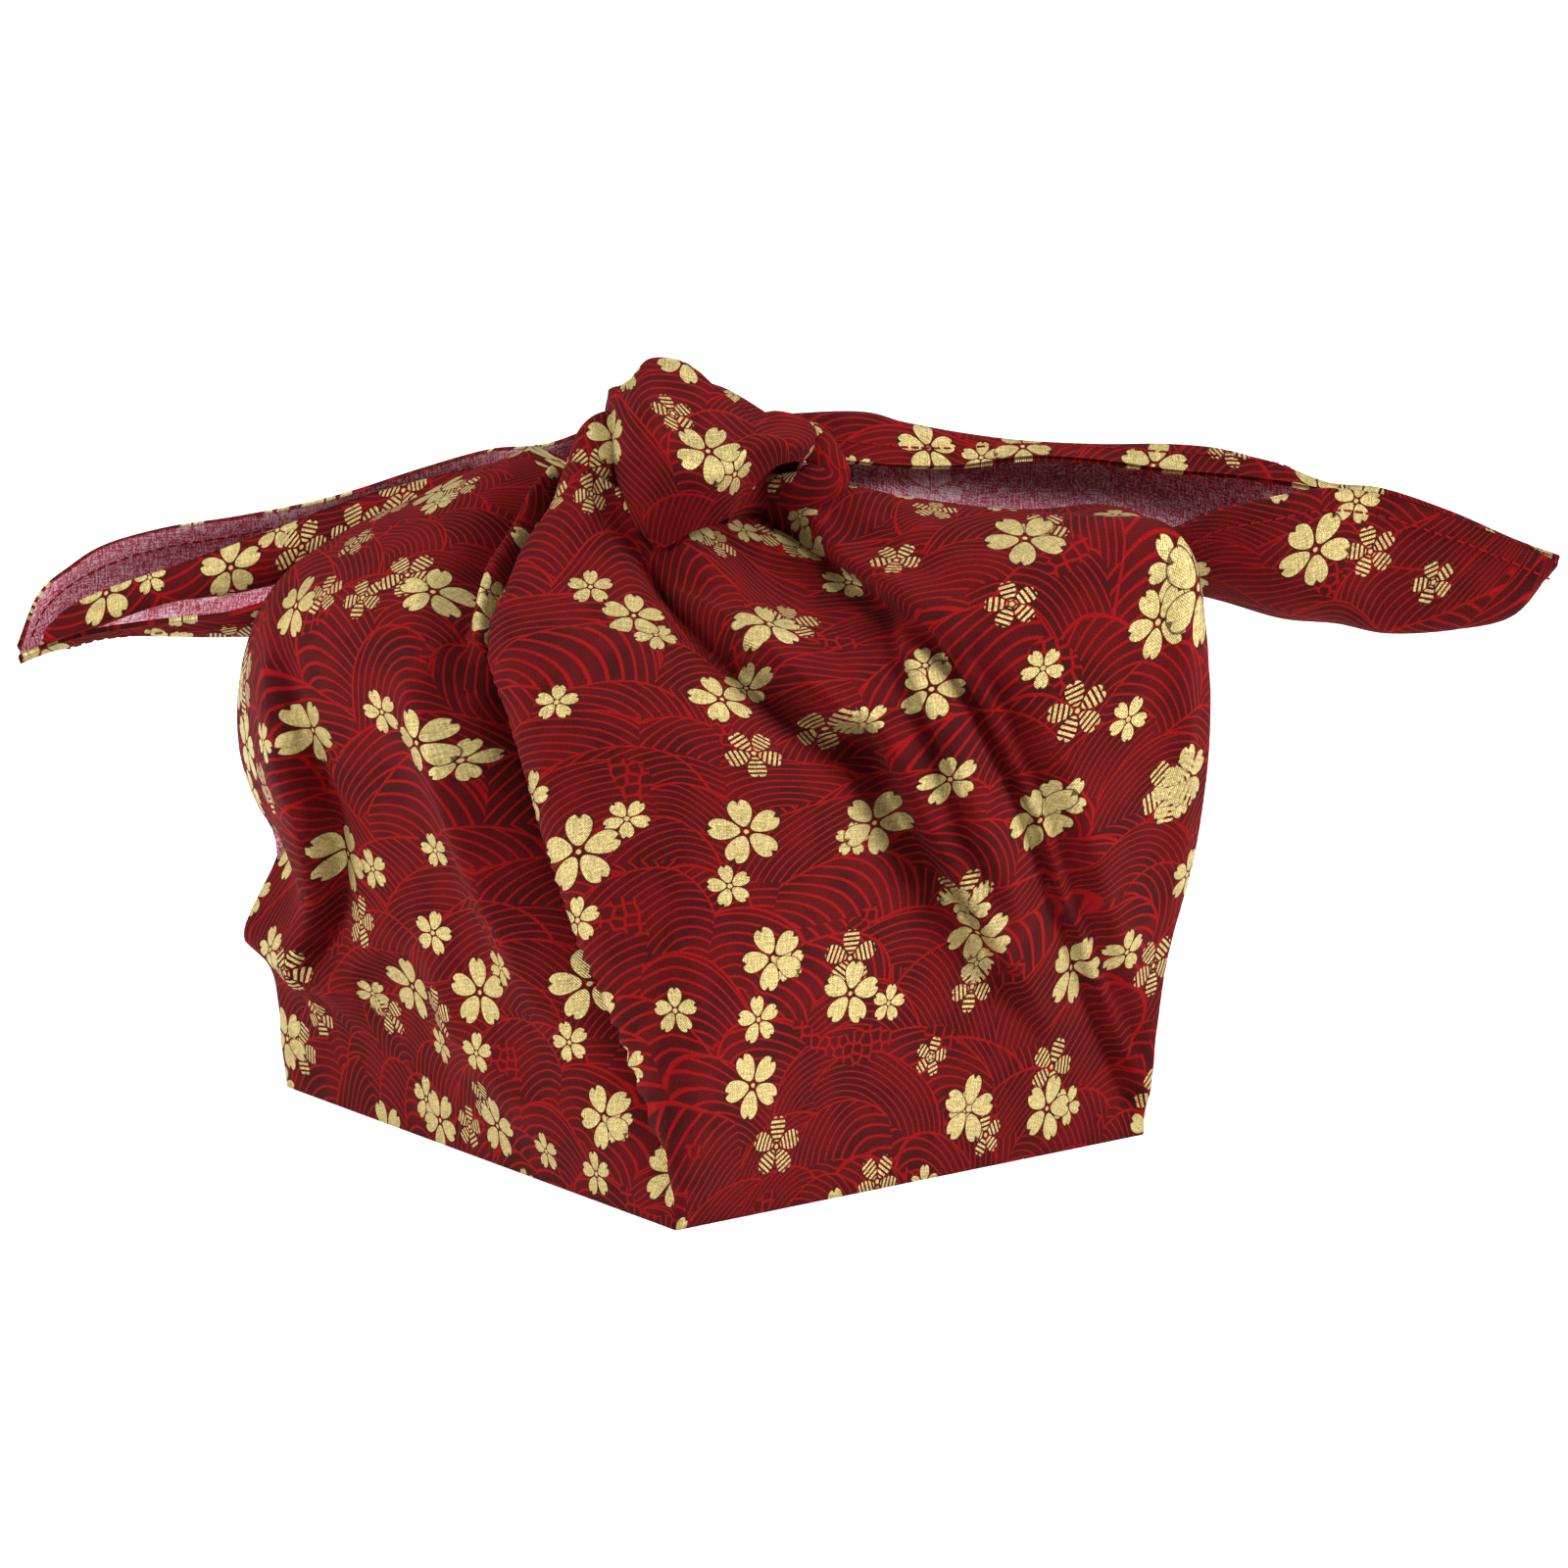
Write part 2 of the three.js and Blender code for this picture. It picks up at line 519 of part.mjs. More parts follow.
const mouthSteps = 12;
const mouthLoop = (z) => {
  const loop = [];
  for (let k = 0; k < 2 * mouthSteps; k++) {
    const side = k < mouthSteps ? 1 : -1;
    const share = (k % mouthSteps) / mouthSteps;
    const along = side > 0 ? share : 1 - share;
    const y = MOUTH.fromY + (MOUTH.toY - MOUTH.fromY) * along;
    const half = MOUTH.halfWidth * Math.sin(Math.PI * along) ** 0.6;
    loop.push(new THREE.Vector3(MOUTH.x + side * half, y, z));
  }
  return loop;
};
const mouth = fromLoops([mouthLoop(MOUTH.fromZ), mouthLoop(MOUTH.toZ)]);

const backBand = KNOT_BAND.map((section) =>
  Object.fromEntries(
    Object.entries(section).map(([column, [x, y, z]]) => [
      column,
      [BACK_BAND.aboutX - x, -y, BACK_BAND.foot + (z - BACK_BAND.foot) * BACK_BAND.height],
    ]),
  ),
);

const pieces = [
  sheetThrough(RIGHT_END, TAIL_CLOTH, 24, 12),
  sheetThrough(LEFT_END, TAIL_CLOTH, 20, 8),
  sheetThrough(LEFT_STRIP, TAIL_CLOTH * 0.75, 16, 5),
  sheetThrough(KNOT_BAND, CLOTH, 18, 7),
  sheetThrough(backBand, CLOTH, 14, 5),
  ...KNOT_ROLLS.map((roll) => rollAlong(roll, 12, 9)),
];
const joined = pieces.reduce((sum, piece) => sum.add(piece), wall.subtract(mouth));
// The pockets that stay shut between the layers of the tight knot are solid cloth.
const solid = joined.decompose().reduce((best, body) => (body.volume() > best.volume() ? body : best));

const made = solid.getMesh();
const geometry = new THREE.BufferGeometry();
const corners = new Float32Array(made.numVert * 3);
for (let i = 0; i < made.numVert; i++)
  corners.set(made.vertProperties.subarray(i * made.numProp, i * made.numProp + 3), i * 3);
geometry.setAttribute("position", new THREE.BufferAttribute(corners, 3));
geometry.setIndex(new THREE.BufferAttribute(made.triVerts, 1));
geometry.computeVertexNormals();

const cloth = new THREE.Mesh(
  geometry,
  new THREE.MeshStandardMaterial({ color: 0x7a1016, roughness: 0.85, side: THREE.DoubleSide }),
);
cloth.name = "wrapping_cloth";
const part = new THREE.Group();
part.add(cloth);
export default part;
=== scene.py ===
import math

import bpy
import numpy as np
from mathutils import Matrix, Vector


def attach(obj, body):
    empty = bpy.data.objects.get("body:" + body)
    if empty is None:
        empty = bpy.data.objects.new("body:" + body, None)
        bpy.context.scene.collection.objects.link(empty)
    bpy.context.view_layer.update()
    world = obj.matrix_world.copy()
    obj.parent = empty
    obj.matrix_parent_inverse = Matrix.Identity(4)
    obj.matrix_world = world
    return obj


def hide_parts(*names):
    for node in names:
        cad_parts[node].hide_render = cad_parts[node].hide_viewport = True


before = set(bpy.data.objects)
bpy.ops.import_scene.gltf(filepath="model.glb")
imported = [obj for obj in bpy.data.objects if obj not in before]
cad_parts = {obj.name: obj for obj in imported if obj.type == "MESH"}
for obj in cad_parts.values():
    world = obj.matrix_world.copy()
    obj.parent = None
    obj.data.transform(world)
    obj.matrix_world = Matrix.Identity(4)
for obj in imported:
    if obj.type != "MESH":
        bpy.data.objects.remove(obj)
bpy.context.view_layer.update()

# Printed cotton
# One square of plain-woven cotton, printed on its front with red wave lines on a dark ground
# and with gold cherry blossoms. On the back the print shows through, pale and speckled.
PETALS = 5
WAVE_PITCH = 1.6
DASH_PITCH = 0.95
GROUND = (0.043, 0.0028, 0.0030)
GROUND_HAZE = (0.092, 0.0030, 0.0040)
WAVE_RED = (0.25, 0.0030, 0.0040)
GOLD = (0.60, 0.49, 0.215)
GOLD_DARK = (0.26, 0.19, 0.060)
BLOSSOM_EYE = (0.50, 0.36, 0.15)
BACK_GROUND = (0.36, 0.040, 0.075)
BACK_WAVE = (0.46, 0.060, 0.105)
BACK_BLOSSOM = (0.74, 0.60, 0.67)
BACK_THREAD = (0.80, 0.62, 0.68)


class Cloth:
    """A socket of a material's node tree, used in plain arithmetic."""

    tree = None

    def __init__(self, socket):
        self.socket = socket

    @classmethod
    def node(cls, kind, settings=None, out=0, **values):
        made = cls.tree.nodes.new(kind)
        for name, value in (settings or {}).items():
            setattr(made, name, value)
        for name, value in values.items():
            socket = made.inputs[int(name[1:])] if name[0] == "i" and name[1:].isdigit() else made.inputs[name]
            if isinstance(value, Cloth):
                cls.tree.links.new(value.socket, socket)
            else:
                socket.default_value = value
        return Cloth(made.outputs[out])

    def maths(self, operation, other=0.0, third=0.0):
        return Cloth.node("ShaderNodeMath", {"operation": operation}, i0=self, i1=other, i2=third)

    def __add__(self, other): return self.maths("ADD", other)
    def __radd__(self, other): return self.maths("ADD", other)
    def __sub__(self, other): return self.maths("SUBTRACT", other)
    def __rsub__(self, other): return Cloth.node("ShaderNodeMath", {"operation": "SUBTRACT"}, i0=other, i1=self)
    def __mul__(self, other): return self.maths("MULTIPLY", other)
    def __rmul__(self, other): return self.maths("MULTIPLY", other)
    def __truediv__(self, other): return self.maths("DIVIDE", other)
    def __rtruediv__(self, other): return Cloth.node("ShaderNodeMath", {"operation": "DIVIDE"}, i0=other, i1=self)
    def floor(self): return self.maths("FLOOR")
    def cos(self): return self.maths("COSINE")
    def sin(self): return self.maths("SINE")
    def abs(self): return self.maths("ABSOLUTE")
    def root(self): return self.maths("SQRT")
    def below(self, limit, soft): return ((limit - self) / soft + 0.5).maths("MAXIMUM", 0.0).maths("MINIMUM", 1.0)
    def above(self, limit, soft): return 1.0 - self.below(limit, soft)


def parts_of(vector):
    made = Cloth.tree.nodes.new("ShaderNodeSeparateXYZ")
    Cloth.tree.links.new(vector.socket, made.inputs[0])
    return [Cloth(socket) for socket in made.outputs]


def vector_of(x, y, z=0.0):
    return Cloth.node("ShaderNodeCombineXYZ", i0=x, i1=y, i2=z)


def mix_colour(share, first, second):
    made = Cloth.tree.nodes.new("ShaderNodeMix")
    made.data_type = "RGBA"
    for socket, value in ((made.inputs[0], share), (made.inputs[6], first), (made.inputs[7], second)):
        if isinstance(value, Cloth):
            Cloth.tree.links.new(value.socket, socket)
        elif isinstance(value, tuple):
            socket.default_value = (*value, 1)
        else:
            socket.default_value = value
    return Cloth(made.outputs[2])


def wave_lines(x, y):
    """Rows of overlapping low fans of long curved lines, with an outline each, and small bubbles in places."""
    fan_wide, fan_rise, fan_radius = 26.0, 8.8, 15.5
    bend_far, arcs_aside, arcs_below, bubble_scale = 26.0, 34.0, 7.0, 0.46
    bend = Cloth.node("ShaderNodeTexNoise", {"noise_dimensions": "2D"}, out=1,
                      Vector=vector_of(x, y), Scale=0.022, Detail=0.0)
    bx, by, _ = parts_of(bend)
    wx, wy = x + (bx - 0.5) * bend_far, y + (by - 0.5) * bend_far
    row = (wy / fan_rise).floor()
    line = None
    for behind in (0, 1, 2):
        j = row - behind
        stagger = (j * 0.5 - (j * 0.5).floor())
        i = (wx / fan_wide + stagger).floor()
        place = Cloth.node("ShaderNodeTexWhiteNoise", {"noise_dimensions": "3D"}, out=1, Vector=vector_of(i, j, 11.0))
        a, b, c = parts_of(place)
        dx = wx - (i + 0.5 - stagger + (a - 0.5) * 0.4) * fan_wide
        dy = wy - (j + (b - 0.5) * 0.7) * fan_rise
        away = (dx * dx + dy * dy * 1.3).root()
        lean, low = dx - (c - 0.5) * arcs_aside, dy + arcs_below
        ring = (lean * lean + low * low).root() / WAVE_PITCH
        arcs = (ring - ring.floor() - 0.5).abs().above(0.385, 0.09)
        radius = fan_radius * (0.84 + 0.3 * a)
        arcs = arcs.maths("MAXIMUM", (away - radius).abs().below(0.30, 0.25))
        line = arcs if line is None else line + (arcs - line) * away.below(radius + 0.2, 0.02)
    patch = Cloth.node("ShaderNodeTexNoise", {"noise_dimensions": "2D"},
                       Vector=vector_of(x + 31.0, y), Scale=0.07, Detail=0.0).above(0.79, 0.01)
    bubble = Cloth.node("ShaderNodeTexVoronoi", {"voronoi_dimensions": "2D", "feature": "DISTANCE_TO_EDGE"},
                        Vector=vector_of(x, y), Scale=bubble_scale, Randomness=0.6) / bubble_scale
    return line * (1.0 - patch) + bubble.below(0.26, 0.24) * patch


def blossoms(x, y, cell, small, large, share, striped, seed):
    """One layer of notched five-petalled blossoms, at most one to a cell of the layer."""
    gx, gy = x / cell, y / cell
    ix, iy = gx.floor(), gy.floor()
    place = Cloth.node("ShaderNodeTexWhiteNoise", {"noise_dimensions": "3D"}, out=1, Vector=vector_of(ix, iy, seed))
    choice = Cloth.node("ShaderNodeTexWhiteNoise", {"noise_dimensions": "3D"}, out=1,
                        Vector=vector_of(ix, iy, seed + 5.5))
    px, py, turn = parts_of(place)
    here, size, dashed = parts_of(choice)
    spare = 1.0 - 2.0 * large / cell
    radius = small + (large - small) * size
    dx = (gx - ix - 0.5 - (px - 0.5) * spare) * cell
    dy = (gy - iy - 0.5 - (py - 0.5) * spare) * cell
    r = (dx * dx + dy * dy).root() / radius
    angle = dy.maths("ARCTAN2", dx) + turn * (2 * math.pi)
    half = math.pi / PETALS
    fold = angle.maths("WRAP", half, -half)
    along, across = r * fold.cos(), (r * fold.sin()).abs()
    width = 0.18 + 0.205 * along
    oval = ((along - 0.58) / 0.42) * ((along - 0.58) / 0.42) + (across / width) * (across / width)
    notch = (across - (along - 0.86) * 0.75).above(0.0, 0.04)
    soft = 1.0 / radius
    present = here.below(share, 0.001)
    petal = oval.below(1.0, soft * 0.7) * notch * r.below(1.05, 0.01) * present
    rim = oval.below(1.22, 0.1) * r.below(1.06, 0.02) * present
    stripe = (along * radius * (2 * math.pi / DASH_PITCH) + 6.0 * turn).sin().above(-0.10, 0.5)
    dash = dashed.below(striped, 0.001)
    petal = petal * (1.0 - dash * (1.0 - stripe))
    eye = (r * radius).below(0.42, 0.15) * present
    return petal, rim * (1.0 - dash * 0.7), eye


def printed(name, ground, wave, gold, gold_dark, metal, back):
    made = bpy.data.materials.new(name)
    made.use_nodes = True
    Cloth.tree = made.node_tree
    shader = made.node_tree.nodes["Principled BSDF"]
    flat = Cloth.node("ShaderNodeUVMap", {"uv_map": "cut"})
    u, v, _ = parts_of(flat)
    x, y = u * 1000.0, v * 1000.0

    # plain weave, threads about 0.4 mm apart, with slubs
    weave = 2 * math.pi / 0.44
    over = (x * weave).sin() * (y * weave).sin()
    thread = Cloth.node("ShaderNodeTexNoise", {"noise_dimensions": "2D"},
                        Vector=vector_of(x * 3.0, y * 0.35), Scale=1.0, Detail=2.0)
    cross = Cloth.node("ShaderNodeTexNoise", {"noise_dimensions": "2D"},
                       Vector=vector_of(x * 0.35, y * 3.0), Scale=1.0, Detail=2.0)
    grain = (thread + cross) * 0.5
    speck = Cloth.node("ShaderNodeTexNoise", {"noise_dimensions": "2D"},
                       Vector=vector_of(x, y), Scale=2.6, Detail=2.0)

    line = wave_lines(x, y)
    wear = Cloth.node("ShaderNodeTexNoise", {"noise_dimensions": "2D"},
                      Vector=vector_of(x, y), Scale=0.055, Detail=2.0)
    layers = [
        blossoms(x + 7.0, y + 3.0, 26.5, 5.7, 7.0, 0.82, 0.06, 1.0),
        blossoms(x * 0.92 + y * 0.39, y * 0.92 - x * 0.39, 24.0, 4.3, 6.0, 0.74, 0.85, 2.0),
        blossoms(x * 0.83 - y * 0.56, y * 0.83 + x * 0.56, 20.0, 3.5, 4.7, 0.70, 0.12, 3.0),
    ]
    haze = Cloth.node("ShaderNodeTexNoise", {"noise_dimensions": "2D"},
                      Vector=vector_of(x, y), Scale=0.11, Detail=1.0)
    colour = ground if back else mix_colour(haze.above(0.50, 0.30) * 0.75, ground, GROUND_HAZE)
    colour = mix_colour(line * (0.86 + 0.14 * (speck - 0.5) * 2.0), colour, wave)
    petals = None
    for petal, rim, eye in reversed(layers):
        colour = mix_colour(rim * 0.85, colour, ground)
        shade = (grain * 1.7 - 0.35 + (speck - 0.5) * 1.3).maths("MAXIMUM", 0.0).maths("MINIMUM", 1.0)
        colour = mix_colour(petal, colour, mix_colour(shade, gold_dark, gold))
        colour = mix_colour(eye, colour, BLOSSOM_EYE)
        petals = petal if petals is None else petals.maths("MAXIMUM", petal)
    if back:
        slub = (grain * 1.2 + speck * 0.9 - 0.62 + over * 0.10).above(0.50, 0.28)
        colour = mix_colour(slub * 0.75, colour, BACK_THREAD)
    value = 0.82 + grain * 0.36 + over * 0.06
    colour = Cloth.node("ShaderNodeVectorMath", {"operation": "SCALE"}, Vector=colour, Scale=value)
    Cloth.tree.links.new(colour.socket, shader.inputs["Base Color"])
    Cloth.tree.links.new((0.86 - petals * metal * 0.42 + (grain - 0.5) * 0.1).socket, shader.inputs["Roughness"])
    Cloth.tree.links.new((petals * metal * 0.55).socket, shader.inputs["Metallic"])
    shader.inputs["Specular IOR Level"].default_value = 0.05
    shader.inputs["Sheen Weight"].default_value = 0.01
    shader.inputs["Sheen Roughness"].default_value = 0.6
    height = over * 0.5 + grain * 0.9 + petals * 0.35 + wear * 3.0
    bump = Cloth.node("ShaderNodeBump", Strength=0.55, Distance=0.00022, Height=height)
    Cloth.tree.links.new(bump.socket, shader.inputs["Normal"])
    return made


PRINT_FRONT = printed("printed_cotton_front", GROUND, WAVE_RED, GOLD, GOLD_DARK, 1.0, False)
PRINT_BACK = printed("printed_cotton_back", BACK_GROUND, BACK_WAVE, BACK_BLOSSOM, BACK_WAVE, 0.0, True)

# Wrapped body
# The middle of the square sits flat under the box and its sides are drawn up to the knot.
# Corners stay sharp at the base, and folds run from them to the gather under the knot.
MM = 0.001
SHORT_SIDE, LONG_SIDE, YAW = 113.0, 131.0, math.radians(37.1)
COTTON = 0.5  # thickness of the cloth, mm
SIDES = [(-1, -1), (0, -1), (1, -1), (1, 0), (1, 1), (0, 1), (-1, 1), (-1, 0)]
ACROSS, ALONG = np.array([math.cos(YAW), math.sin(YAW)]), np.array([-math.sin(YAW), math.cos(YAW)])
LINE_XY = [ACROSS * a * SHORT_SIDE / 2 + ALONG * b * LONG_SIDE / 2 for a, b in SIDES]
LINE_ANGLES = np.unwrap([math.atan2(p[1], p[0]) for p in LINE_XY])
LINE_ANGLES = np.append(LINE_ANGLES, LINE_ANGLES[0] + 2 * math.pi)
# height of each ring at the eight upright lines, its distance from the middle, how straight
# it runs between the lines, and its centre
WALL = [
    ([0, 0, 0, 0, 0, 0, 0, 0], [86.5, 65.5, 86.5, 56.5, 86.5, 65.5, 86.5, 56.5], 1.0, (0, 0)),
    ([17, 17, 18, 18, 18, 17, 17, 17], [86, 65.5, 87.3, 58, 86.5, 66, 86.5, 57], 0.92, (0, 0)),
    ([35, 35, 37, 36, 36, 35, 35, 35], [84, 65.5, 90.5, 61, 86, 66.5, 87.5, 58.5], 0.8, (0, 0)),
    ([53, 53, 57, 55, 54, 53, 53, 53], [80, 64.5, 95.5, 66, 85, 66, 91, 61], 0.6, (0, 0)),
    ([70, 71, 78, 73, 71, 70, 71, 71], [74, 61, 98, 70, 82, 64, 95, 63], 0.45, (0, 0)),
    ([86, 87, 99, 91, 88, 87, 88, 88], [65, 55, 98, 73, 76, 60, 92, 65], 0.35, (-1, 0)),
    ([98, 100, 116.5, 104, 99, 100, 102, 102], [53, 47, 93.5, 69, 66, 53, 84, 62], 0.35, (-2, 0)),
    ([108, 109, 119, 111, 108, 110, 113, 112], [39, 32, 78, 50, 49, 37, 68, 48], 0.3, (-4, -1)),
    ([116, 117, 121, 117, 116, 118, 122, 121], [25, 22, 48, 32, 32, 25, 46, 31], 0.2, (-7, -2)),
    ([121, 122, 124, 123, 123, 125, 130, 128], [14, 14, 20, 16, 17, 15, 24, 19], 0.0, (-10, -3)),
]
# each fold: whether the back has it too, its fall on the left and right of the path, how far the
# narrow side sinks under the wide one, and the path's (upright line, share of the way up, height)
FOLDS = {
    "flap edge": (True, 9, 22, 1.1, [
        (8, 0.005, 1), (7.96, 0.13, 4), (7.88, 0.23, 6), (7.76, 0.32, 7.5), (7.63, 0.41, 8.5),
        (7.49, 0.495, 8.5),
        (7.36, 0.57, 8), (7.25, 0.64, 7), (7.2, 0.69, 5.5), (7.14, 0.76, 4), (7.04, 0.835, 4),
        (6.92, 0.925, 3), (6.84, 1, 3)]),
    "hollow beside the flap": (True, 5.5, 3.2, 0, [
        (7.93, 0.1, -1), (7.78, 0.25, -7), (7.645, 0.36, -14), (7.5, 0.46, -20), (7.37, 0.55, -17),
        (7.25, 0.64, -9), (7.15, 0.72, -1)]),
    "swell beside the hollow": (True, 7, 6, 0, [
        (7.66, 0.15, 0), (7.4, 0.29, 4), (7.22, 0.39, 7), (7.08, 0.49, 7), (6.98, 0.58, 4), (6.9, 0.66, 0)]),
    "thin roll": (False, 1.8, 1.8, 0, [
        (7.2, 0.61, 2), (7.15, 0.67, 4.5), (7.06, 0.75, 6), (6.94, 0.835, 6), (6.8, 0.925, 6), (6.7, 1, 5)]),
    "crease of the roll": (False, 2.0, 1.8, 0, [
        (7.24, 0.645, -1), (7.2, 0.69, -4), (7.12, 0.78, -6), (7.0, 0.87, -7), (6.9, 0.955, -7),
        (6.84, 1, -6)]),
    "crease left of the roll": (False, 6, 1.8, 0, [
        (7.1, 0.61, -2), (7.04, 0.69, -4), (6.94, 0.77, -6), (6.8, 0.86, -7), (6.66, 0.94, -5), (6.56, 1, -2)]),
    "root of the roll": (False, 3.2, 3.2, 0, [(7.1, 1, 4), (7.25, 0.95, 3), (7.42, 0.86, 1)]),
    "front panel ridge": (True, 18, 9, 0.8, [
        (7.46, 0.975, 1.5), (7.92, 0.885, 3), (8.1, 0.82, 4.5), (8.42, 0.675, 6), (8.72, 0.58, 6.5),
        (8.94, 0.545, 7),
        (9.04, 0.44, 6), (9.1, 0.395, 5.5), (9.24, 0.315, 4.5), (9.38, 0.245, 3), (9.56, 0.165, 1),
        (9.64, 0.13, 0)]),
    "pocket under the knot": (False, 2.5, 5, 0, [(7.98, 0.91, -5), (8.1, 0.855, -7), (8.22, 0.81, -6),
        (8.34, 0.75, -2)]),
    "second ridge": (True, 12, 7, 0.8, [
        (1.76, 0.985, 3), (1.58, 0.93, 5), (1.38, 0.845, 6), (1.32, 0.775, 6), (1.3, 0.675, 5.5),
        (1.36, 0.545, 5),
        (1.4, 0.475, 5), (1.54, 0.33, 4.5), (1.64, 0.27, 4), (1.76, 0.2, 3.5), (1.88, 0.12, 3),
        (1.98, 0.04, 2)]),
    "valley of the right panel": (True, 5, 9, 0, [
        (1.72, 0.955, -4), (1.54, 0.885, -6), (1.46, 0.8, -5), (1.42, 0.7, -3), (1.44, 0.6, -2),
        (1.5, 0.5, -1)]),
    "crease beside the second ridge": (True, 2, 4, 0, [
        (1.37, 0.62, -3), (1.42, 0.545, -5), (1.46, 0.475, -6), (1.6, 0.33, -6), (1.7, 0.27, -5),
        (1.82, 0.2, -4), (1.94, 0.12, -2.5)]),
    "inner edge": (True, 8, 5, 0.7, [
        (1.3, 0.735, 1), (1.2, 0.655, 3), (1.18, 0.6, 3.5), (1.2, 0.505, 4), (1.22, 0.445, 3.5),
        (1.26, 0.39, 3), (1.42, 0.27, 0)]),
    "left ridge": (False, 6, 15, 0.5, [
        (6.28, 0.6, 1), (6.38, 0.52, 4), (6.42, 0.44, 6.5), (6.44, 0.39, 7), (6.38, 0.31, 6.5),
        (6.28, 0.23, 5), (6.24, 0.175, 2)]),
    "hanging swag": (False, 9, 5, 0, [
        (5.7, 0.26, 4), (5.86, 0.225, 7), (6.04, 0.2, 7), (6.2, 0.185, 6), (6.32, 0.17, 4)]),
    "notch over the swag": (False, 6, 6, 0, [(5.9, 0.31, -4.5), (6.08, 0.3, -5), (6.18, 0.29, -3),
        (6.28, 0.285, -1)]),
    "right end of the swag": (False, 9, 5, 0, [
        (6.28, 0.17, 3.5), (6.42, 0.195, 4.5), (6.54, 0.23, 4.5), (6.7, 0.27, 3.5), (6.86, 0.305, 2),
        (7.06, 0.34, 0)]),
    "left swell": (True, 11, 9, 0, [(6.82, 0.315, 0), (6.9, 0.265, 4), (7.02, 0.185, 5.5), (7.24, 0.13, 4.5),
        (7.5, 0.09, 2)]),
    "low crease": (False, 2.0, 2.0, 0, [(7.8, 0.2, -1), (7.86, 0.16, -2.5), (7.92, 0.115, -3),
        (7.98, 0.045, -2)]),
    "free edge of the right panel": (False, 12, 5, 1.0, [
        (2, 0.5, 0), (2, 0.6, 1.5), (2, 0.68, 3), (2, 0.76, 3), (2, 0.86, 2.5), (2, 0.95, 2), (2, 1, 1)]),
    "right corner": (False, 3, 4, 0, [(1.97, 0.2, 0), (1.93, 0.35, 1.5), (1.9, 0.5, 2), (1.93, 0.62, 1.5),
        (1.97, 0.7, 0)]),
    "swell of the right side": (False, 10, 16, 0, [(2.38, 0.1, 0), (2.4, 0.25, 5), (2.4, 0.4, 8),
        (2.4, 0.55, 8), (2.4, 0.66, 4)]),
}
BACK_SHARE = 0.8
LIP = 1.8  # half width of the turn at the edge of a fold that laps over its neighbour, mm
LAP = 0.5  # how far such a fold laps over, as a share of its height
FOOT_FADE = 0.06
PRINT_STEP = np.array([47.0, 29.0])  # from the flap to the cloth under it, along the square, mm


def spline(rows, share):
    """Points on a smooth curve through rows, at shares of the way along."""
    rows = np.asarray(rows, float)
    flat = rows.reshape(len(rows), -1)
    ends = np.vstack([2 * flat[0] - flat[1], flat, 2 * flat[-1] - flat[-2]])
    at = np.clip(np.asarray(share, float), 0, 1) * (len(rows) - 1)
    i = np.minimum(at.astype(int), len(rows) - 2)
    f = (at - i)[..., None]
    a, b, c, d = (ends[i + k] for k in range(4))
    out = 0.5 * (2 * b + (c - a) * f + (2 * a - 5 * b + 4 * c - d) * f ** 2 + (3 * b - a - 3 * c + d) * f ** 3)
    return out.reshape(at.shape + rows.shape[1:])


def round_lines(values, line):
    at = line % 8
    i = at.astype(int) % 8
    f = at - np.floor(at)
    a, b, c, d = (np.take_along_axis(values, ((i + k) % 8)[:, None], 1)[:, 0] for k in (-1, 0, 1, 2))
    return 0.5 * (2 * b + (c - a) * f + (2 * a - 5 * b + 4 * c - d) * f ** 2 + (3 * b - a - 3 * c + d) * f ** 3)


def wall_point(line, up):
    line, up = np.broadcast_arrays(np.asarray(line, float), np.asarray(up, float))
    shape, line, up = line.shape, line.ravel(), up.ravel()
    height = spline([r[0] for r in WALL], up)
    out = spline([r[1] for r in WALL], up)
    straight = spline([[r[2]] for r in WALL], up)[:, 0]
    mid = spline([r[3] for r in WALL], up)
    at = line % 8
    i = at.astype(int) % 8
    angle = LINE_ANGLES[i] + (LINE_ANGLES[i + 1] - LINE_ANGLES[i]) * (at - np.floor(at))
    near = np.take_along_axis(out, i[:, None], 1)[:, 0]
    far = np.take_along_axis(out, ((i + 1) % 8)[:, None], 1)[:, 0]
    chord = near * far * np.sin(LINE_ANGLES[i + 1] - LINE_ANGLES[i]) / (
        near * np.sin(angle - LINE_ANGLES[i]) + far * np.sin(LINE_ANGLES[i + 1] - angle))
    r = round_lines(out, line) * (1 - straight) + chord * straight
    placed = [mid[:, 0] + r * np.cos(angle), mid[:, 1] + r * np.sin(angle), round_lines(height, line)]
    return np.stack(placed, 1).reshape(shape + (3,))


def wall_normal(line, up):
    step = 0.01
    around = wall_point(line + step, up) - wall_point(line - step, up)
    rise = wall_point(line, np.minimum(up + step, 1)) - wall_point(line, np.maximum(up - step, 0))
    normal = np.cross(around, rise)
    return normal / np.linalg.norm(normal, axis=-1, keepdims=True)


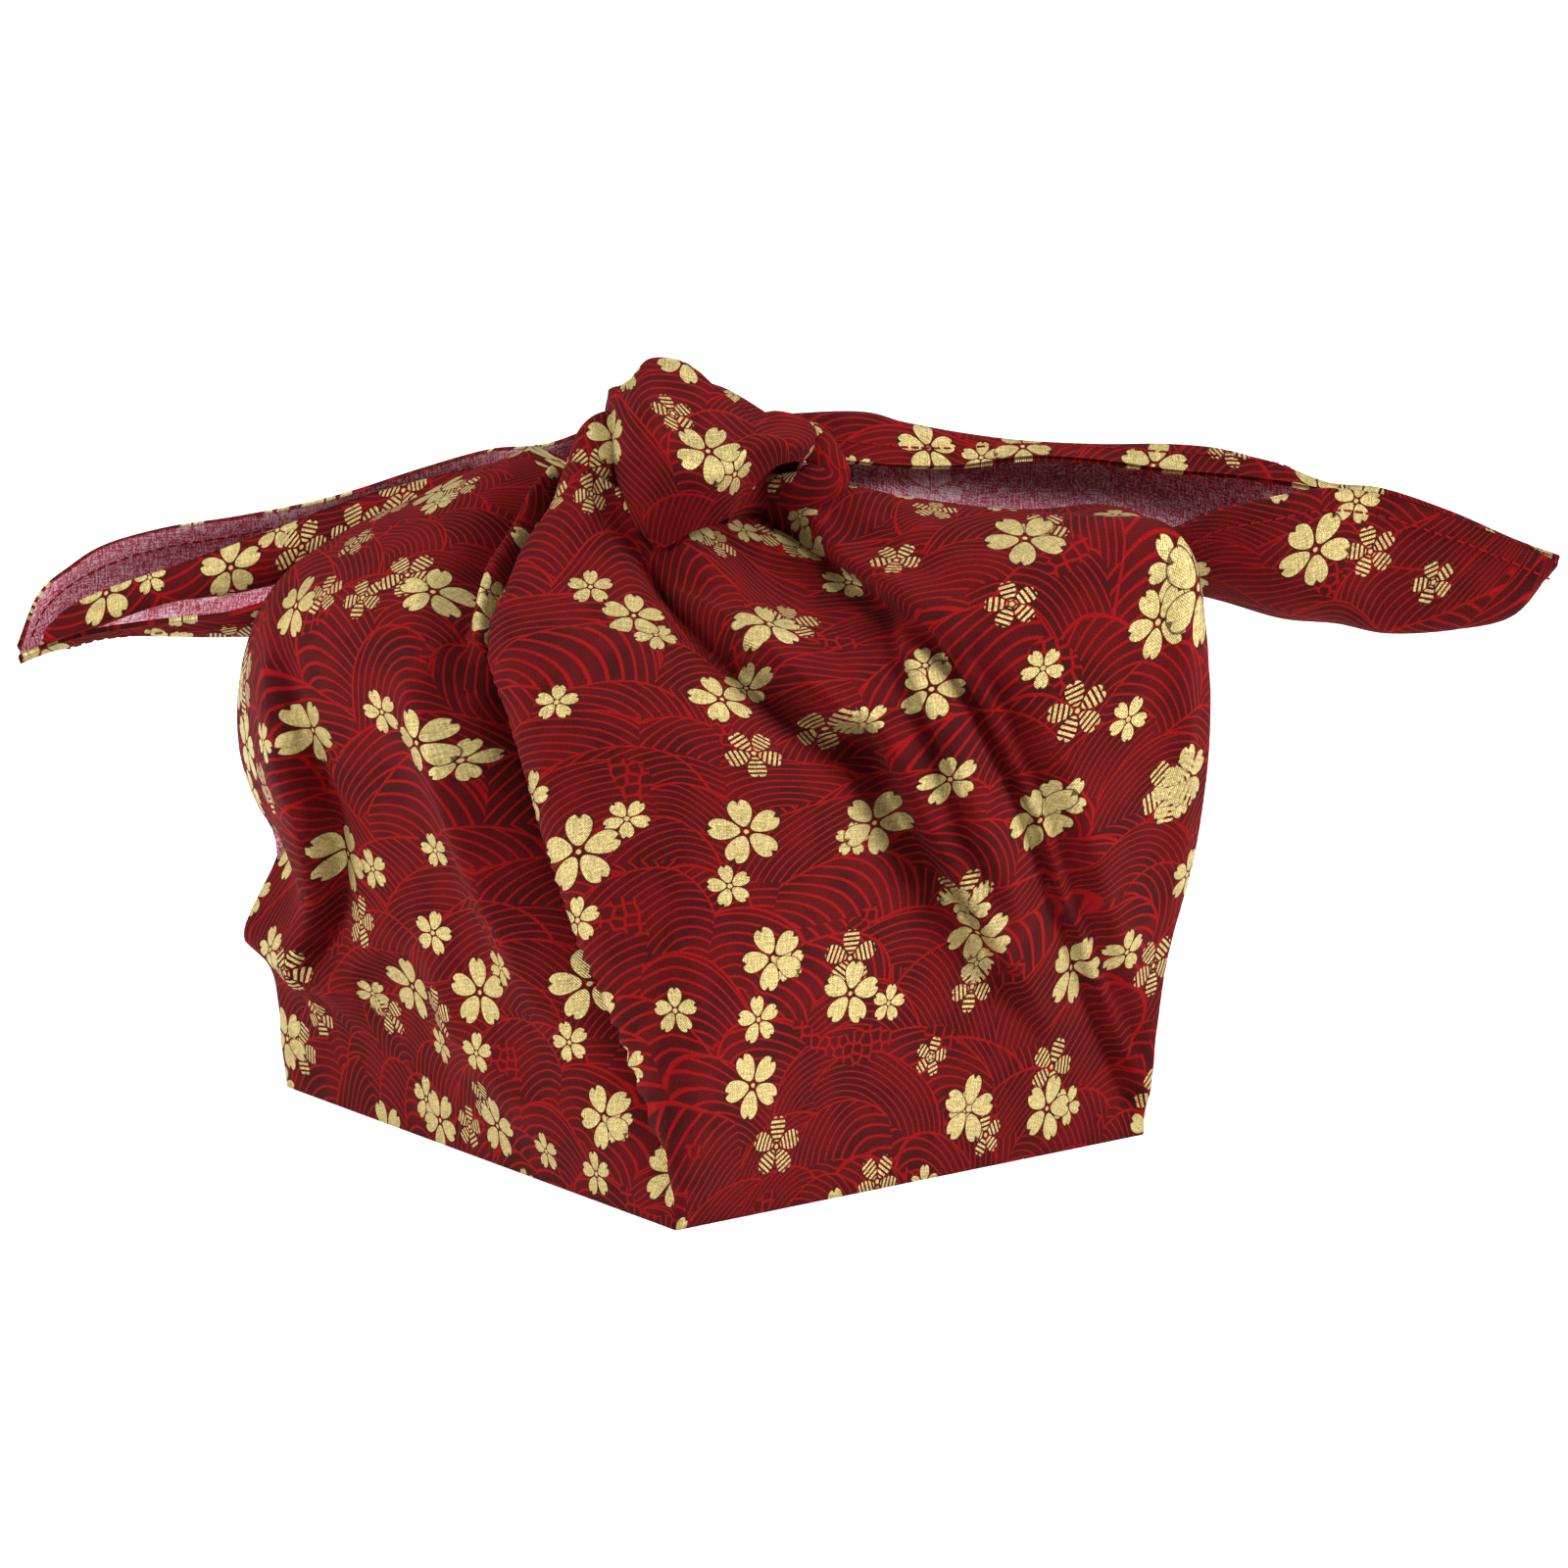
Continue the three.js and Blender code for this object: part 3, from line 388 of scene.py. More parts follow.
def folded_wall(line, up, gentle=False):
    """The wall with all its folds, at arrays of upright line and share of the way up.
    A gentle one has neither its creases nor the laps of its folds."""
    points, normals = wall_point(line, up), wall_normal(line, up)
    height = np.zeros(points.shape[:-1])
    lean = np.zeros(points.shape)
    runs = []
    for name, (twice, left, right, drop, path) in FOLDS.items():
        if gentle and ("crease" in name or "hollow" in name):
            continue
        runs.append((left, right, drop, np.array(path, float)))
        if twice:
            behind = [(a + 4, b, h * BACK_SHARE) for a, b, h in path]
            runs.append((left, right, drop, np.array(behind, float)))
    for left, right, drop, path in runs:
        run = spline(path, np.linspace(0, 1, 12 * len(path)))
        track = wall_point(run[:, 0], np.clip(run[:, 1], 0, 1))
        heading = np.gradient(track, axis=0)
        heading /= np.linalg.norm(heading, axis=1, keepdims=True)
        reach = 4.0 * max(left, right)
        low, high = track.min(0) - reach, track.max(0) + reach
        close = np.all((points > low) & (points < high), axis=-1)
        here, n = points[close], normals[close]
        best, near = np.full(len(here), 1e9), np.zeros(len(here), int)
        for k, spot in enumerate(track):
            gap = ((here - spot) ** 2).sum(1)
            nearer = gap < best
            best[nearer], near[nearer] = gap[nearer], k
        off = here - track[near]
        side = (np.cross(heading[near], n) * off).sum(1)
        width = np.where(side > 0, right, left)
        inside = (near > 0) & (near < len(track) - 1)
        gap = np.maximum(best - np.where(inside, (off * heading[near]).sum(1), 0) ** 2, 0)
        rise = run[near, 2] * np.exp(0.06 ** 0.75 - (gap / width ** 2 + 0.06) ** 0.75)
        if drop and not gentle:
            way = 1 if right > left else -1
            upper = np.clip(way * side / (2 * LIP) + 0.5, 0, 1)
            lap = LAP * run[near, 2] * np.exp(-gap / 9.0) * (1.4 * upper - 0.4)
            lean[close] -= way * np.cross(heading[near], n) * lap[:, None]
            rise *= upper * (1 + drop) - drop
        height[close] += rise
    fade = np.clip(up / FOOT_FADE, 0, 1)
    return points + (normals * height[..., None] + lean) * fade[..., None]


def grid_normals(grid):
    normal = np.cross(np.gradient(grid, axis=0), np.gradient(grid, axis=1))
    return normal / np.maximum(np.linalg.norm(normal, axis=-1, keepdims=True), 1e-9)


def arc_lengths(grid, axis):
    step = np.linalg.norm(np.diff(grid, axis=axis), axis=-1)
    return np.concatenate([np.zeros_like(step.take([0], axis)), np.cumsum(step, axis)], axis)


def cloth_piece(name, outer, inner, cut, join=None, moved=None):
    """A closed sheet of cloth from its two faces, given as grids of points, with its flat cut as UV map.
    Where join is given, the first and last rows of the grid are one and the same at those columns.
    Where moved is given, those faces take their print from further along the cut."""
    nu, nv = outer.shape[:2]
    index = np.arange(nu * nv).reshape(nu, nv)
    if join is not None:
        index[-1, join] = index[0, join]
    count = nu * nv
    made = bpy.data.meshes.new(name)
    faces, uvs, inside = [], [], []
    flat = cut.reshape(-1, 2)
    own = np.arange(nu * nv).reshape(nu, nv)
    # both faces are split the same way, along the shorter diagonal, so that they never cross
    one_way, other_way = outer[1:, 1:] - outer[:-1, :-1], outer[1:, :-1] - outer[:-1, 1:]
    rising = np.linalg.norm(one_way, axis=-1) <= np.linalg.norm(other_way, axis=-1)
    for layer in (0, 1):
        for half in (0, 1):
            split = []
            for grid in (index, own):
                a, b, c, d = (grid[:-1, :-1], grid[1:, :-1], grid[1:, 1:], grid[:-1, 1:])
                one, two = ((a, b, c), (a, b, d)) if half == 0 else ((a, c, d), (b, c, d))
                corners = [np.where(rising, p, q) for p, q in zip(one, two)]
                split.append(np.stack(corners[::-1] if layer else corners, -1).reshape(-1, 3))
            faces.append(split[0] + layer * count)
            uvs.append(split[1])
            inside += [layer] * len(split[0])
    borders = [index[:, 0][::-1], index[:, -1]]
    edges = [(r[:-1], r[1:]) for r in borders]
    first, last = index[0], index[-1][::-1]
    for row in (first, last):
        open_edge = np.ones(len(row) - 1, bool)
        if join is not None:
            both = join[:-1] & join[1:]
            open_edge = ~(both if row is first else both[::-1])
        edges.append((row[:-1][open_edge], row[1:][open_edge]))
    for a, b in edges:
        for rim in (np.stack([b, a, a + count], -1), np.stack([b, a + count, b + count], -1)):
            faces.append(rim)
            uvs.append(rim % count)
            inside += [0] * len(rim)
    faces, uvs = np.concatenate(faces), np.concatenate(uvs)
    verts = np.concatenate([outer.reshape(-1, 3), inner.reshape(-1, 3)]) * MM
    used = np.unique(faces)
    renumber = np.full(len(verts), -1)
    renumber[used] = np.arange(len(used))
    made.from_pydata(verts[used].tolist(), [], renumber[faces].tolist())
    corners = flat[uvs]
    if moved is not None:
        both = np.concatenate([moved.ravel()] * 4)
        corners[:len(both)][both] += PRINT_STEP
    layer = made.uv_layers.new(name="cut")
    layer.data.foreach_set("uv", (corners * MM).ravel())
    made.materials.append(PRINT_FRONT)
    made.materials.append(PRINT_BACK)
    made.polygons.foreach_set("material_index", np.array(inside, dtype=np.int32))
    made.polygons.foreach_set("use_smooth", np.ones(len(made.polygons), dtype=bool))
    made.update()
    piece = bpy.data.objects.new(name, made)
    bpy.context.scene.collection.objects.link(piece)
    return piece


def declare(piece):
    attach(piece, "root")
    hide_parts("wrapping_cloth")


def declare_cut(piece, grid):
    """Declare a piece: attach it to the root and hide the imported cloth."""
    quads = np.cross(grid[1:, :-1] - grid[:-1, :-1], grid[:-1, 1:] - grid[:-1, :-1])
    declare(piece)


def settle_print(grid, cut, rounds, stride=1):
    """Turn each patch of a flat cut to fit its neighbours until the patches are as large as on the cloth.
    With a stride, only every so many points are moved, and the ones between follow them."""
    if stride > 1:
        picks = [np.unique(np.append(np.arange(0, n, stride), n - 1)) for n in cut.shape[:2]]
        moved = settle_print(grid[np.ix_(*picks)], cut[np.ix_(*picks)], rounds) - cut[np.ix_(*picks)]
        for axis, pick in enumerate(picks):
            at = np.interp(np.arange(cut.shape[axis]), pick, np.arange(len(pick)))
            low = np.minimum(at.astype(int), len(pick) - 2)
            share = (at - low).reshape([-1 if a == axis else 1 for a in range(3)])
            moved = moved.take(low, axis) * (1 - share) + moved.take(low + 1, axis) * share
        return cut + moved
    corners = [(slice(i, grid.shape[0] - 1 + i), slice(k, grid.shape[1] - 1 + k))
               for i, k in ((0, 0), (1, 0), (1, 1), (0, 1))]
    a, b, c, d = (grid[at] for at in corners)
    around, rise = b - a + c - d, d - a + c - b
    around /= np.linalg.norm(around, axis=-1, keepdims=True)
    rise -= around * (around * rise).sum(-1, keepdims=True)
    rise /= np.linalg.norm(rise, axis=-1, keepdims=True)
    centre = (a + b + c + d) / 4
    patch = [(((p - centre) * around).sum(-1), ((p - centre) * rise).sum(-1)) for p in (a, b, c, d)]
    shared = np.zeros(cut.shape[:2] + (1,))
    for at in corners:
        shared[at] += 1
    for _ in range(rounds):
        middle = sum(cut[at] for at in corners) / 4
        away = [cut[at] - middle for at in corners]
        cosine = sum(x * u[..., 0] + y * u[..., 1] for (x, y), u in zip(patch, away))
        sine = sum(x * u[..., 1] - y * u[..., 0] for (x, y), u in zip(patch, away))
        size = np.hypot(cosine, sine) + 1e-12
        cosine, sine = cosine / size, sine / size
        total = np.zeros_like(cut)
        for at, (x, y) in zip(corners, patch):
            total[at] += middle + np.stack([cosine * x - sine * y, sine * x + cosine * y], -1)
        cut = total / shared
    return cut


MOUTH_LINE, MOUTH_LOW, MOUTH_HIGH, MOUTH_HALF = 3.9, 0.64, 0.93, 4.6
MOUTH_REACH = 9.0  # how far round the wall the mouth moves the cloth, mm
MOUTH_TURN, MOUTH_TURN_REACH = 0.35, 4.0  # how far its lips stand out, as a share, and over how many mm
FINE, PLAIN = 1.35, 2.3  # steps round the wall on the seen side and at the back, mm
LINE_GAP = 61  # from one upright line to the next, mm
row_count = 132
fine_from, fine_to = 5.7, 10.3
back_steps = int(round((MOUTH_LINE + 8 - fine_to) * LINE_GAP / PLAIN))
front_steps = int(round((fine_to - fine_from) * LINE_GAP / FINE))
lines = np.concatenate([
    np.linspace(MOUTH_LINE, fine_from, back_steps, endpoint=False),
    np.linspace(fine_from, fine_to, front_steps, endpoint=False),
    np.linspace(fine_to, MOUTH_LINE + 8, back_steps + 1),
])
ups = np.linspace(0, 1, row_count)
L, U = np.meshgrid(lines, ups, indexing="ij")
wall = folded_wall(L, U)
wall[-1] = wall[0]
# the lips of the two back panels behind the knot: placed like this they lie over each other,
# where the solids have an open mouth
open_share = np.clip((ups - MOUTH_LOW) / (MOUTH_HIGH - MOUTH_LOW), 0, 1)
gape = MOUTH_HALF * np.sin(math.pi * open_share) ** 0.7
gape[gape < 0.05] = 0
normals = grid_normals(np.concatenate([wall[-2:-1], wall, wall[1:2]]))[1:-1]
from_start = arc_lengths(wall, 0)
from_end = from_start[-1] - from_start
for distance, sign in ((from_start, 1), (from_end, -1)):
    tangent = np.cross(np.gradient(wall[0], axis=0), normals[0])
    tangent /= np.linalg.norm(tangent, axis=1, keepdims=True)
    push = gape * np.exp(-(distance / MOUTH_REACH) ** 1.5)
    lift = MOUTH_TURN * gape * np.exp(-(distance / MOUTH_TURN_REACH) ** 2)
    wall += -sign * tangent * push[..., None] + normals * lift[..., None]
join = gape == 0
# flat cut: measured along the cloth from the middle of the front right side, and up the wall
from_middle = arc_lengths(wall, 0)
middle = np.argmin(np.abs(lines - 9.0))
across_cut = from_middle - from_middle[middle]
up_cut = arc_lengths(wall, 1)
BASE_SHARES = np.array([0.004, 0.25, 0.5, 0.75, 0.9, 0.97, 0.99])  # rings of the base, out to its edge
# the flap's own print doesn't meet its neighbour's
flap_path = np.array(FOLDS["flap edge"][4])
flap_line = np.interp(ups, flap_path[:, 1], flap_path[:, 0])
under_flap = (L[:-1, :-1] + L[1:, 1:]) / 2 < flap_line[None, :-1]
under_flap = np.concatenate([np.zeros((len(lines) - 1, len(BASE_SHARES)), bool), under_flap], 1)
# flat base, from its middle out to the wall's foot
foot = wall[:, 0]
base = foot[:, None] * BASE_SHARES[None, :, None]
body = np.concatenate([base, wall], 1)
body_join = np.concatenate([np.ones(len(BASE_SHARES), bool), join])
body[-1, body_join] = body[0, body_join]
# under the knot the gathered cloth is drawn together and tucked in
GATHER_SINK, GATHER_CUT = 4, 18.0  # how deep it is tucked in and how much cloth it takes, mm
tuck = np.array([0.85, 0.6, 0.35, 0.15, 0.01])
collar = wall[:-1, -1].mean(0) - (0, 0, GATHER_SINK)
gather = collar + (wall[:, -1:] - collar) * tuck[None, :, None]
body = np.concatenate([body, gather], 1)
body_join = np.concatenate([body_join, np.ones(len(tuck), bool)])
body[-1, body_join] = body[0, body_join]
no_flap = np.zeros((len(lines) - 1, len(tuck)), bool)
under_flap = np.concatenate([under_flap, no_flap], 1)
base_cut = base[..., :2] + np.array([-60.0, -40.0])
wall_cut = np.stack([across_cut, up_cut], -1) + np.array([14.0, 9.0])
laid_out = (wall + folded_wall(L, U, gentle=True)) / 2
for stride, rounds in ((12, 1500), (6, 900), (3, 300), (1, 60)):
    wall_cut = settle_print(laid_out, wall_cut, rounds, stride)
gather_cut = wall_cut[:, -1:] + (1 - tuck)[None, :, None] * np.array([0.0, GATHER_CUT])
body_cut = np.concatenate([base_cut, wall_cut, gather_cut], 1)
ring_normals = grid_normals(np.concatenate([body[-2:-1], body, body[1:2]]))[1:-1]
ring_normals[:, :len(BASE_SHARES)] = (0, 0, -1)
body_inner = body - ring_normals * COTTON
body_inner[:, :len(BASE_SHARES) + 1, 2] = COTTON
body_inner[-1, body_join] = body_inner[0, body_join]
wrapped_body = cloth_piece("wrapped_body", body, body_inner, body_cut, body_join, under_flap)
declare(wrapped_body)

# Free ends
# Two opposite corners of the square come out of the knot. Each is a trough of single cloth
# with a hem on both edges: the right one closes to a blunt tip, the left one curls in.
RIGHT_END = [  # folded-in edge, far rim, far wall, bottom, near wall, near rim
    ((10, 0, 130), (8, 8, 136), (8, 13, 131), (8, 4, 122), (8, -4, 124), (8, -8, 127)),
    ((27, -2, 129), (28, 6, 137), (30, 14, 132), (30, 6, 118), (28, -4, 121), (27, -8, 125)),
    ((38, 4, 127), (38, 12, 134), (39, 20, 127), (39, 6, 114), (38, -6, 119), (37, -10, 123)),
    ((49, 10, 126), (50, 17, 131), (51, 23, 123), (50, 8, 113), (49, -6, 116), (48, -11, 121)),
    ((62, 13, 127), (62, 20, 129), (63, 26, 122), (63, 8, 112), (61, -7, 114), (60, -12, 119)),
    ((75, 15, 126), (76, 22, 128), (77, 27, 121), (76, 8, 110), (74, -8, 111), (72, -13, 117)),
    ((89, 16, 124), (89, 22, 128), (90, 26, 118), (89, 8, 104), (87, -9, 109), (85, -14, 117)),
    ((101, 16, 123), (100, 21, 127), (102, 24, 115), (100, 6, 101), (98, -9, 108), (97, -14, 122)),
    ((111, 14, 122), (111, 18, 124), (112, 21, 112), (111, 5, 98), (109, -9, 105), (108, -12, 124)),
    ((120, 10, 121), (120, 13, 121), (121, 17, 108), (121, 5, 97), (120, -7, 103), (118, -8, 125)),
    ((130, 5, 121), (130, 7, 121), (131, 12, 109), (131, 5, 96), (130, -3, 99), (129, -4, 123)),
    ((143, 3, 117), (143, 5, 117), (145, 9, 106), (144, 5, 96), (144, -1, 99), (143, -1, 118)),
    ((155, 3, 112), (155, 5, 112), (157, 8, 105), (156, 5, 99), (155, 1, 100), (155, 1, 113)),
    ((164, 3, 109), (164, 5, 109), (164, 6, 108), (163, 5, 107), (163, 3, 108), (163, 3, 109)),
]
LEFT_END = [  # far rim, far wall, bottom, near rim
    ((-17, 2, 137), (-17, 8, 132), (-19, 6, 124), (-21, -2, 125)),
    ((-31, 12, 130), (-31, 16, 124), (-32, 10, 114), (-33, 2, 119)),
    ((-43, 22, 127), (-43, 27, 118), (-45, 18, 105), (-46, 8, 113)),
    ((-57, 28, 122), (-57, 33, 113), (-59, 24, 98), (-60, 14, 107)),
    ((-70, 32, 117), (-71, 37, 109), (-72, 27, 94), (-73, 18, 102)),
    ((-80, 34, 114), (-81, 39, 105), (-82, 28, 90), (-82, 19, 99)),
    ((-94, 36, 111), (-94, 40, 101), (-95, 29, 89), (-94, 20, 95)),
    ((-107, 36, 109), (-108, 39, 99), (-108, 30, 89), (-108, 22, 93)),
    ((-119, 34, 106), (-119, 36, 97), (-119, 30, 89), (-119, 24, 91)),
    ((-126, 31, 102), (-127, 33, 96), (-127, 30, 87), (-126, 26, 89)),
    ((-132, 29, 97), (-132, 30, 92), (-131, 29, 86), (-131, 27, 87)),
    ((-136, 27, 87), (-136, 28, 86), (-136, 27, 84), (-136, 26, 85)),
]
LEFT_STRIP = [  # hem, middle, fold, back
    ((-46, 14, 125), (-46, 11, 121), (-46, 12, 117), (-47, 18, 117)),
    ((-58, 20, 121), (-58, 17, 116), (-58, 18, 110), (-58, 24, 110)),
    ((-70, 23, 117), (-70, 20, 112), (-70, 21, 105), (-70, 27, 105)),
    ((-80, 24, 113), (-80, 21, 108), (-81, 22, 102), (-82, 28, 101)),
    ((-93, 24, 108), (-93, 21, 104), (-93, 22, 99), (-93, 27, 99)),
    ((-107, 24, 103), (-106, 22, 100), (-106, 22, 97), (-107, 27, 97)),
    ((-118, 25, 99), (-118, 23, 96), (-118, 23, 93), (-118, 27, 92)),
    ((-126, 26, 95), (-126, 25, 92), (-126, 25, 90), (-126, 28, 89)),
    ((-131, 27, 90), (-131, 26, 89), (-131, 26, 88), (-131, 28, 87)),
]


def lofted(table, length_steps, cross_steps):
    table = np.array(table, float)
    sections = spline(table, np.linspace(0, 1, length_steps + 1))
    grid = np.stack([spline(s, np.linspace(0, 1, cross_steps + 1)) for s in sections])
    return grid


HEM = 5.0  # width of the hem, folded over twice, mm


def free_cloth(name, table, length_steps, cross_steps, turned, shift, hem=0.0):
    """A sheet of single cloth through a table of cross-sections, thicker by hem along both rims."""
    grid = lofted(table, length_steps, cross_steps)
    if turned:
        grid = grid[:, ::-1]
    normal = grid_normals(grid)
    u, v = arc_lengths(grid, 0), arc_lengths(grid, 1)
    from_rim = np.minimum(v, v[:, -1:] - v)
    half = COTTON / 2 * (1 + hem * np.clip((HEM - from_rim) / 0.7 + 0.5, 0, 1))[..., None]
    centre = cross_steps // 2
    cut = np.stack([np.broadcast_to(u[:, centre:centre + 1], u.shape), v - v[:, centre:centre + 1]], -1)
    piece = cloth_piece(name, grid + normal * half, grid - normal * half, cut + np.array(shift))
    declare_cut(piece, grid)
    return grid, normal * half, from_rim


right_end = free_cloth("right_free_end", RIGHT_END, 220, 130, False, (130, 60), 1.2)
left_end = free_cloth("left_free_end", LEFT_END, 180, 80, True, (-150, 70), 1.2)
free_cloth("left_folded_strip", LEFT_STRIP, 130, 36, False, (-150, 120))

# Knot
# The free ends are crossed and tied over the middle of the box. A wide band of cloth wraps
# over the front of the knot and tucks into a small loop at its right end.
KNOT_BAND = [  # top, crease, belly, hem
    ((-8, 18, 139), (-8, 20, 133), (-8, 20, 125), (-7, 16, 116)),
    ((-17, 8, 142), (-19, 9, 136), (-19, 8, 128), (-16, 4, 119)),
    ((-19, -3, 143), (-19, -6, 139), (-19, -9, 131), (-17, -14, 122)),
    ((-15, -9, 146), (-16, -17, 141), (-16, -22, 133), (-14, -23, 121)),
    ((-11, -8, 150), (-11, -22, 142), (-10, -28, 133), (-9, -26, 117)),
    ((-4, -8, 149), (-4, -22, 139), (-3, -29, 132), (-3, -26, 120)),
    ((2, -9, 144), (3, -20, 138), (4, -27, 132), (3, -24, 122)),
    ((8, -10, 140), (9, -18, 138), (9, -24, 135), (7, -21, 126)),
    ((13, -9, 140), (14, -16, 138), (14, -22, 136), (12, -20, 131)),
    ((17, -8, 139), (19, -13, 137), (18, -18, 135), (16, -17, 132)),
    ((20, -5, 137), (21, -8, 136), (20, -12, 133), (18, -13, 131)),
]
BACK_BAND = [tuple((-4 - x, -y, 120 + (z - 120) * 0.55) for x, y, z in row) for row in KNOT_BAND]
KNOT_ROLLS = {  # half width flattened by, then points along the roll with its half width
    "knot_loop": (0.75, [
        (14, -2, 134, 5), (19, -7, 134, 5.5), (21, -11, 131, 5), (22, -13, 128, 5), (19, -15, 126, 5),
        (14, -15, 126, 4.5), (8, -10, 127, 4)]),
    "upright_roll": (0.8, [
        (-24, -20, 114, 4), (-23, -18, 122, 4.5), (-22, -15, 130, 5), (-20, -11, 136, 5), (-15, -4, 138, 4.5)]),
    "knot_heart": (1.0, [(-20, 2, 124, 8), (-10, 0, 130, 14), (0, -2, 130, 14), (10, -2, 129, 11), (22, -1, 126, 9)]),
}
ROLL_STEPS = 60  # steps round a roll


def rolled(path, flat, length_steps, round_steps):
    share = np.linspace(0, 1, length_steps + 1)
    run = spline(path, share)
    along = np.gradient(run[:, :3], axis=0)
    along /= np.linalg.norm(along, axis=1, keepdims=True)
    side = np.array([0, 1, 0.2]) - along * (along @ np.array([0, 1, 0.2]))[:, None]
    side /= np.linalg.norm(side, axis=1, keepdims=True)
    rise = np.cross(along, side)
    end = np.sqrt(np.sin(math.pi * np.clip(share, 0.03, 0.97)))
    turn = np.linspace(0, 2 * math.pi, round_steps + 1)
    radius = (run[:, 3] * end)[:, None, None]
    across = side[:, None] * flat * np.cos(turn)[None, :, None]
    return run[:, None, :3] + radius * (across + rise[:, None] * np.sin(turn)[None, :, None])


free_cloth("knot_band", KNOT_BAND, 160, 70, True, (20, 200))
free_cloth("knot_back_band", BACK_BAND, 120, 50, True, (90, 230))
for number, (name, (flat, path)) in enumerate(KNOT_ROLLS.items()):
    grid = rolled(path, flat, 90, ROLL_STEPS)[:, ::-1]
    normal = grid_normals(grid)
    if (normal * (grid - grid.mean(1, keepdims=True))).sum() < 0:
        grid, normal = grid[:, ::-1], -normal[:, ::-1]
    half_round = ROLL_STEPS // 2
    length = arc_lengths(grid, 0)[:, half_round:half_round + 1].repeat(ROLL_STEPS + 1, 1)
    cut = np.stack([length, arc_lengths(grid, 1)], -1) + np.array([40.0 * number, 260.0])
    roll = cloth_piece(name, grid, grid - normal * COTTON, cut)
    declare_cut(roll, grid)

# Hem stitches
# The square's rim is folded over twice and sewn down with red thread, by a row of short even
# stitches that lie almost flat in the cloth.
STITCH_STEP = 0.0024
STITCH_LONG = 0.0017
STITCH_THICK = 0.00026
STITCH_UNEVEN = 0.15
STITCH_INSET = 0.8  # from the inner edge of the hem to the row, mm
THREAD_RED = (0.12, 0.0060, 0.0080)
thread = bpy.data.materials.new("sewing_thread")
thread.use_nodes = True
Cloth.tree = thread.node_tree
twist = Cloth.node("ShaderNodeTexWave", {"bands_direction": "DIAGONAL"}, out=1,
                   Vector=Cloth.node("ShaderNodeTexCoord", out=3), Scale=900.0)
thread_shader = thread.node_tree.nodes["Principled BSDF"]
Cloth.tree.links.new(mix_colour(twist, THREAD_RED, WAVE_RED).socket, thread_shader.inputs["Base Color"])
thread_shader.inputs["Roughness"].default_value = 0.8
thread_shader.inputs["Specular IOR Level"].default_value = 0.05

sewing = bpy.data.node_groups.new("row_of_stitches", "GeometryNodeTree")
sewing_inputs = sewing.interface
sewing_inputs.new_socket("Geometry", in_out="OUTPUT", socket_type="NodeSocketGeometry")
SEWING_INPUTS = {name: sewing_inputs.new_socket(name, in_out="INPUT", socket_type=kind).identifier for name, kind in (
    ("Geometry", "NodeSocketGeometry"), ("Step", "NodeSocketFloat"), ("Length", "NodeSocketFloat"),
    ("Thickness", "NodeSocketFloat"), ("Unevenness", "NodeSocketFloat"), ("Seed", "NodeSocketInt"),
    ("Thread", "NodeSocketMaterial"))}


def sewing_node(kind, links=None, **settings):
    made = sewing.nodes.new(kind)
    for name, value in settings.items():
        setattr(made, name, value)
    for socket, source in (links or {}).items():
        if isinstance(source, bpy.types.NodeSocket):
            sewing.links.new(source, made.inputs[socket])
        else:
            made.inputs[socket].default_value = source
    return made


asked = sewing_node("NodeGroupInput").outputs
seam = sewing_node("GeometryNodeMeshToCurve", {"Mesh": asked["Geometry"]})
places = sewing_node("GeometryNodeResampleCurve", {"Curve": seam.outputs[0], 3: asked["Step"]}, mode="LENGTH")
stitch = sewing_node("GeometryNodeMeshCylinder", {
    "Vertices": 6, "Radius": asked["Thickness"], "Depth": asked["Length"]})
along = sewing_node("GeometryNodeInputTangent")
uneven = sewing_node("FunctionNodeRandomValue", {"Seed": asked["Seed"]}, data_type="FLOAT")
shortest = sewing_node("ShaderNodeMath", {0: 1.0, 1: asked["Unevenness"]}, operation="SUBTRACT")
sewing.links.new(shortest.outputs[0], uneven.inputs[2])
uneven.inputs[3].default_value = 1.0
laid = sewing_node("FunctionNodeAlignRotationToVector", {"Vector": along.outputs[0]}, axis="Z")
stitches = sewing_node("GeometryNodeInstanceOnPoints", {
    "Points": places.outputs[0], "Instance": stitch.outputs["Mesh"],
    "Rotation": laid.outputs[0], "Scale": uneven.outputs[1]})
real = sewing_node("GeometryNodeRealizeInstances", {"Geometry": stitches.outputs[0]})
coated = sewing_node("GeometryNodeSetMaterial", {"Geometry": real.outputs[0], "Material": asked["Thread"]})
sewing_node("NodeGroupOutput", {"Geometry": coated.outputs[0]})


def sew(name, points, seed):
    """A row of stitches along points, in mm."""
    guide = bpy.data.meshes.new(name + "_line")
    guide.from_pydata((np.asarray(points) * MM).tolist(), [(i, i + 1) for i in range(len(points) - 1)], [])
    piece = bpy.data.objects.new(name, guide)
    bpy.context.scene.collection.objects.link(piece)
    modifier = piece.modifiers.new("stitches", "NODES")
    modifier.node_group = sewing
    for socket, value in (("Step", STITCH_STEP), ("Length", STITCH_LONG), ("Thickness", STITCH_THICK),
                          ("Unevenness", STITCH_UNEVEN), ("Seed", seed), ("Thread", thread)):
        modifier[SEWING_INPUTS[socket]] = value
    bpy.context.view_layer.update()
    plain = bpy.data.meshes.new_from_object(piece.evaluated_get(bpy.context.evaluated_depsgraph_get()))
    piece.modifiers.clear()
    piece.data = plain
    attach(piece, "root")
    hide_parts("wrapping_cloth")


seed = 1
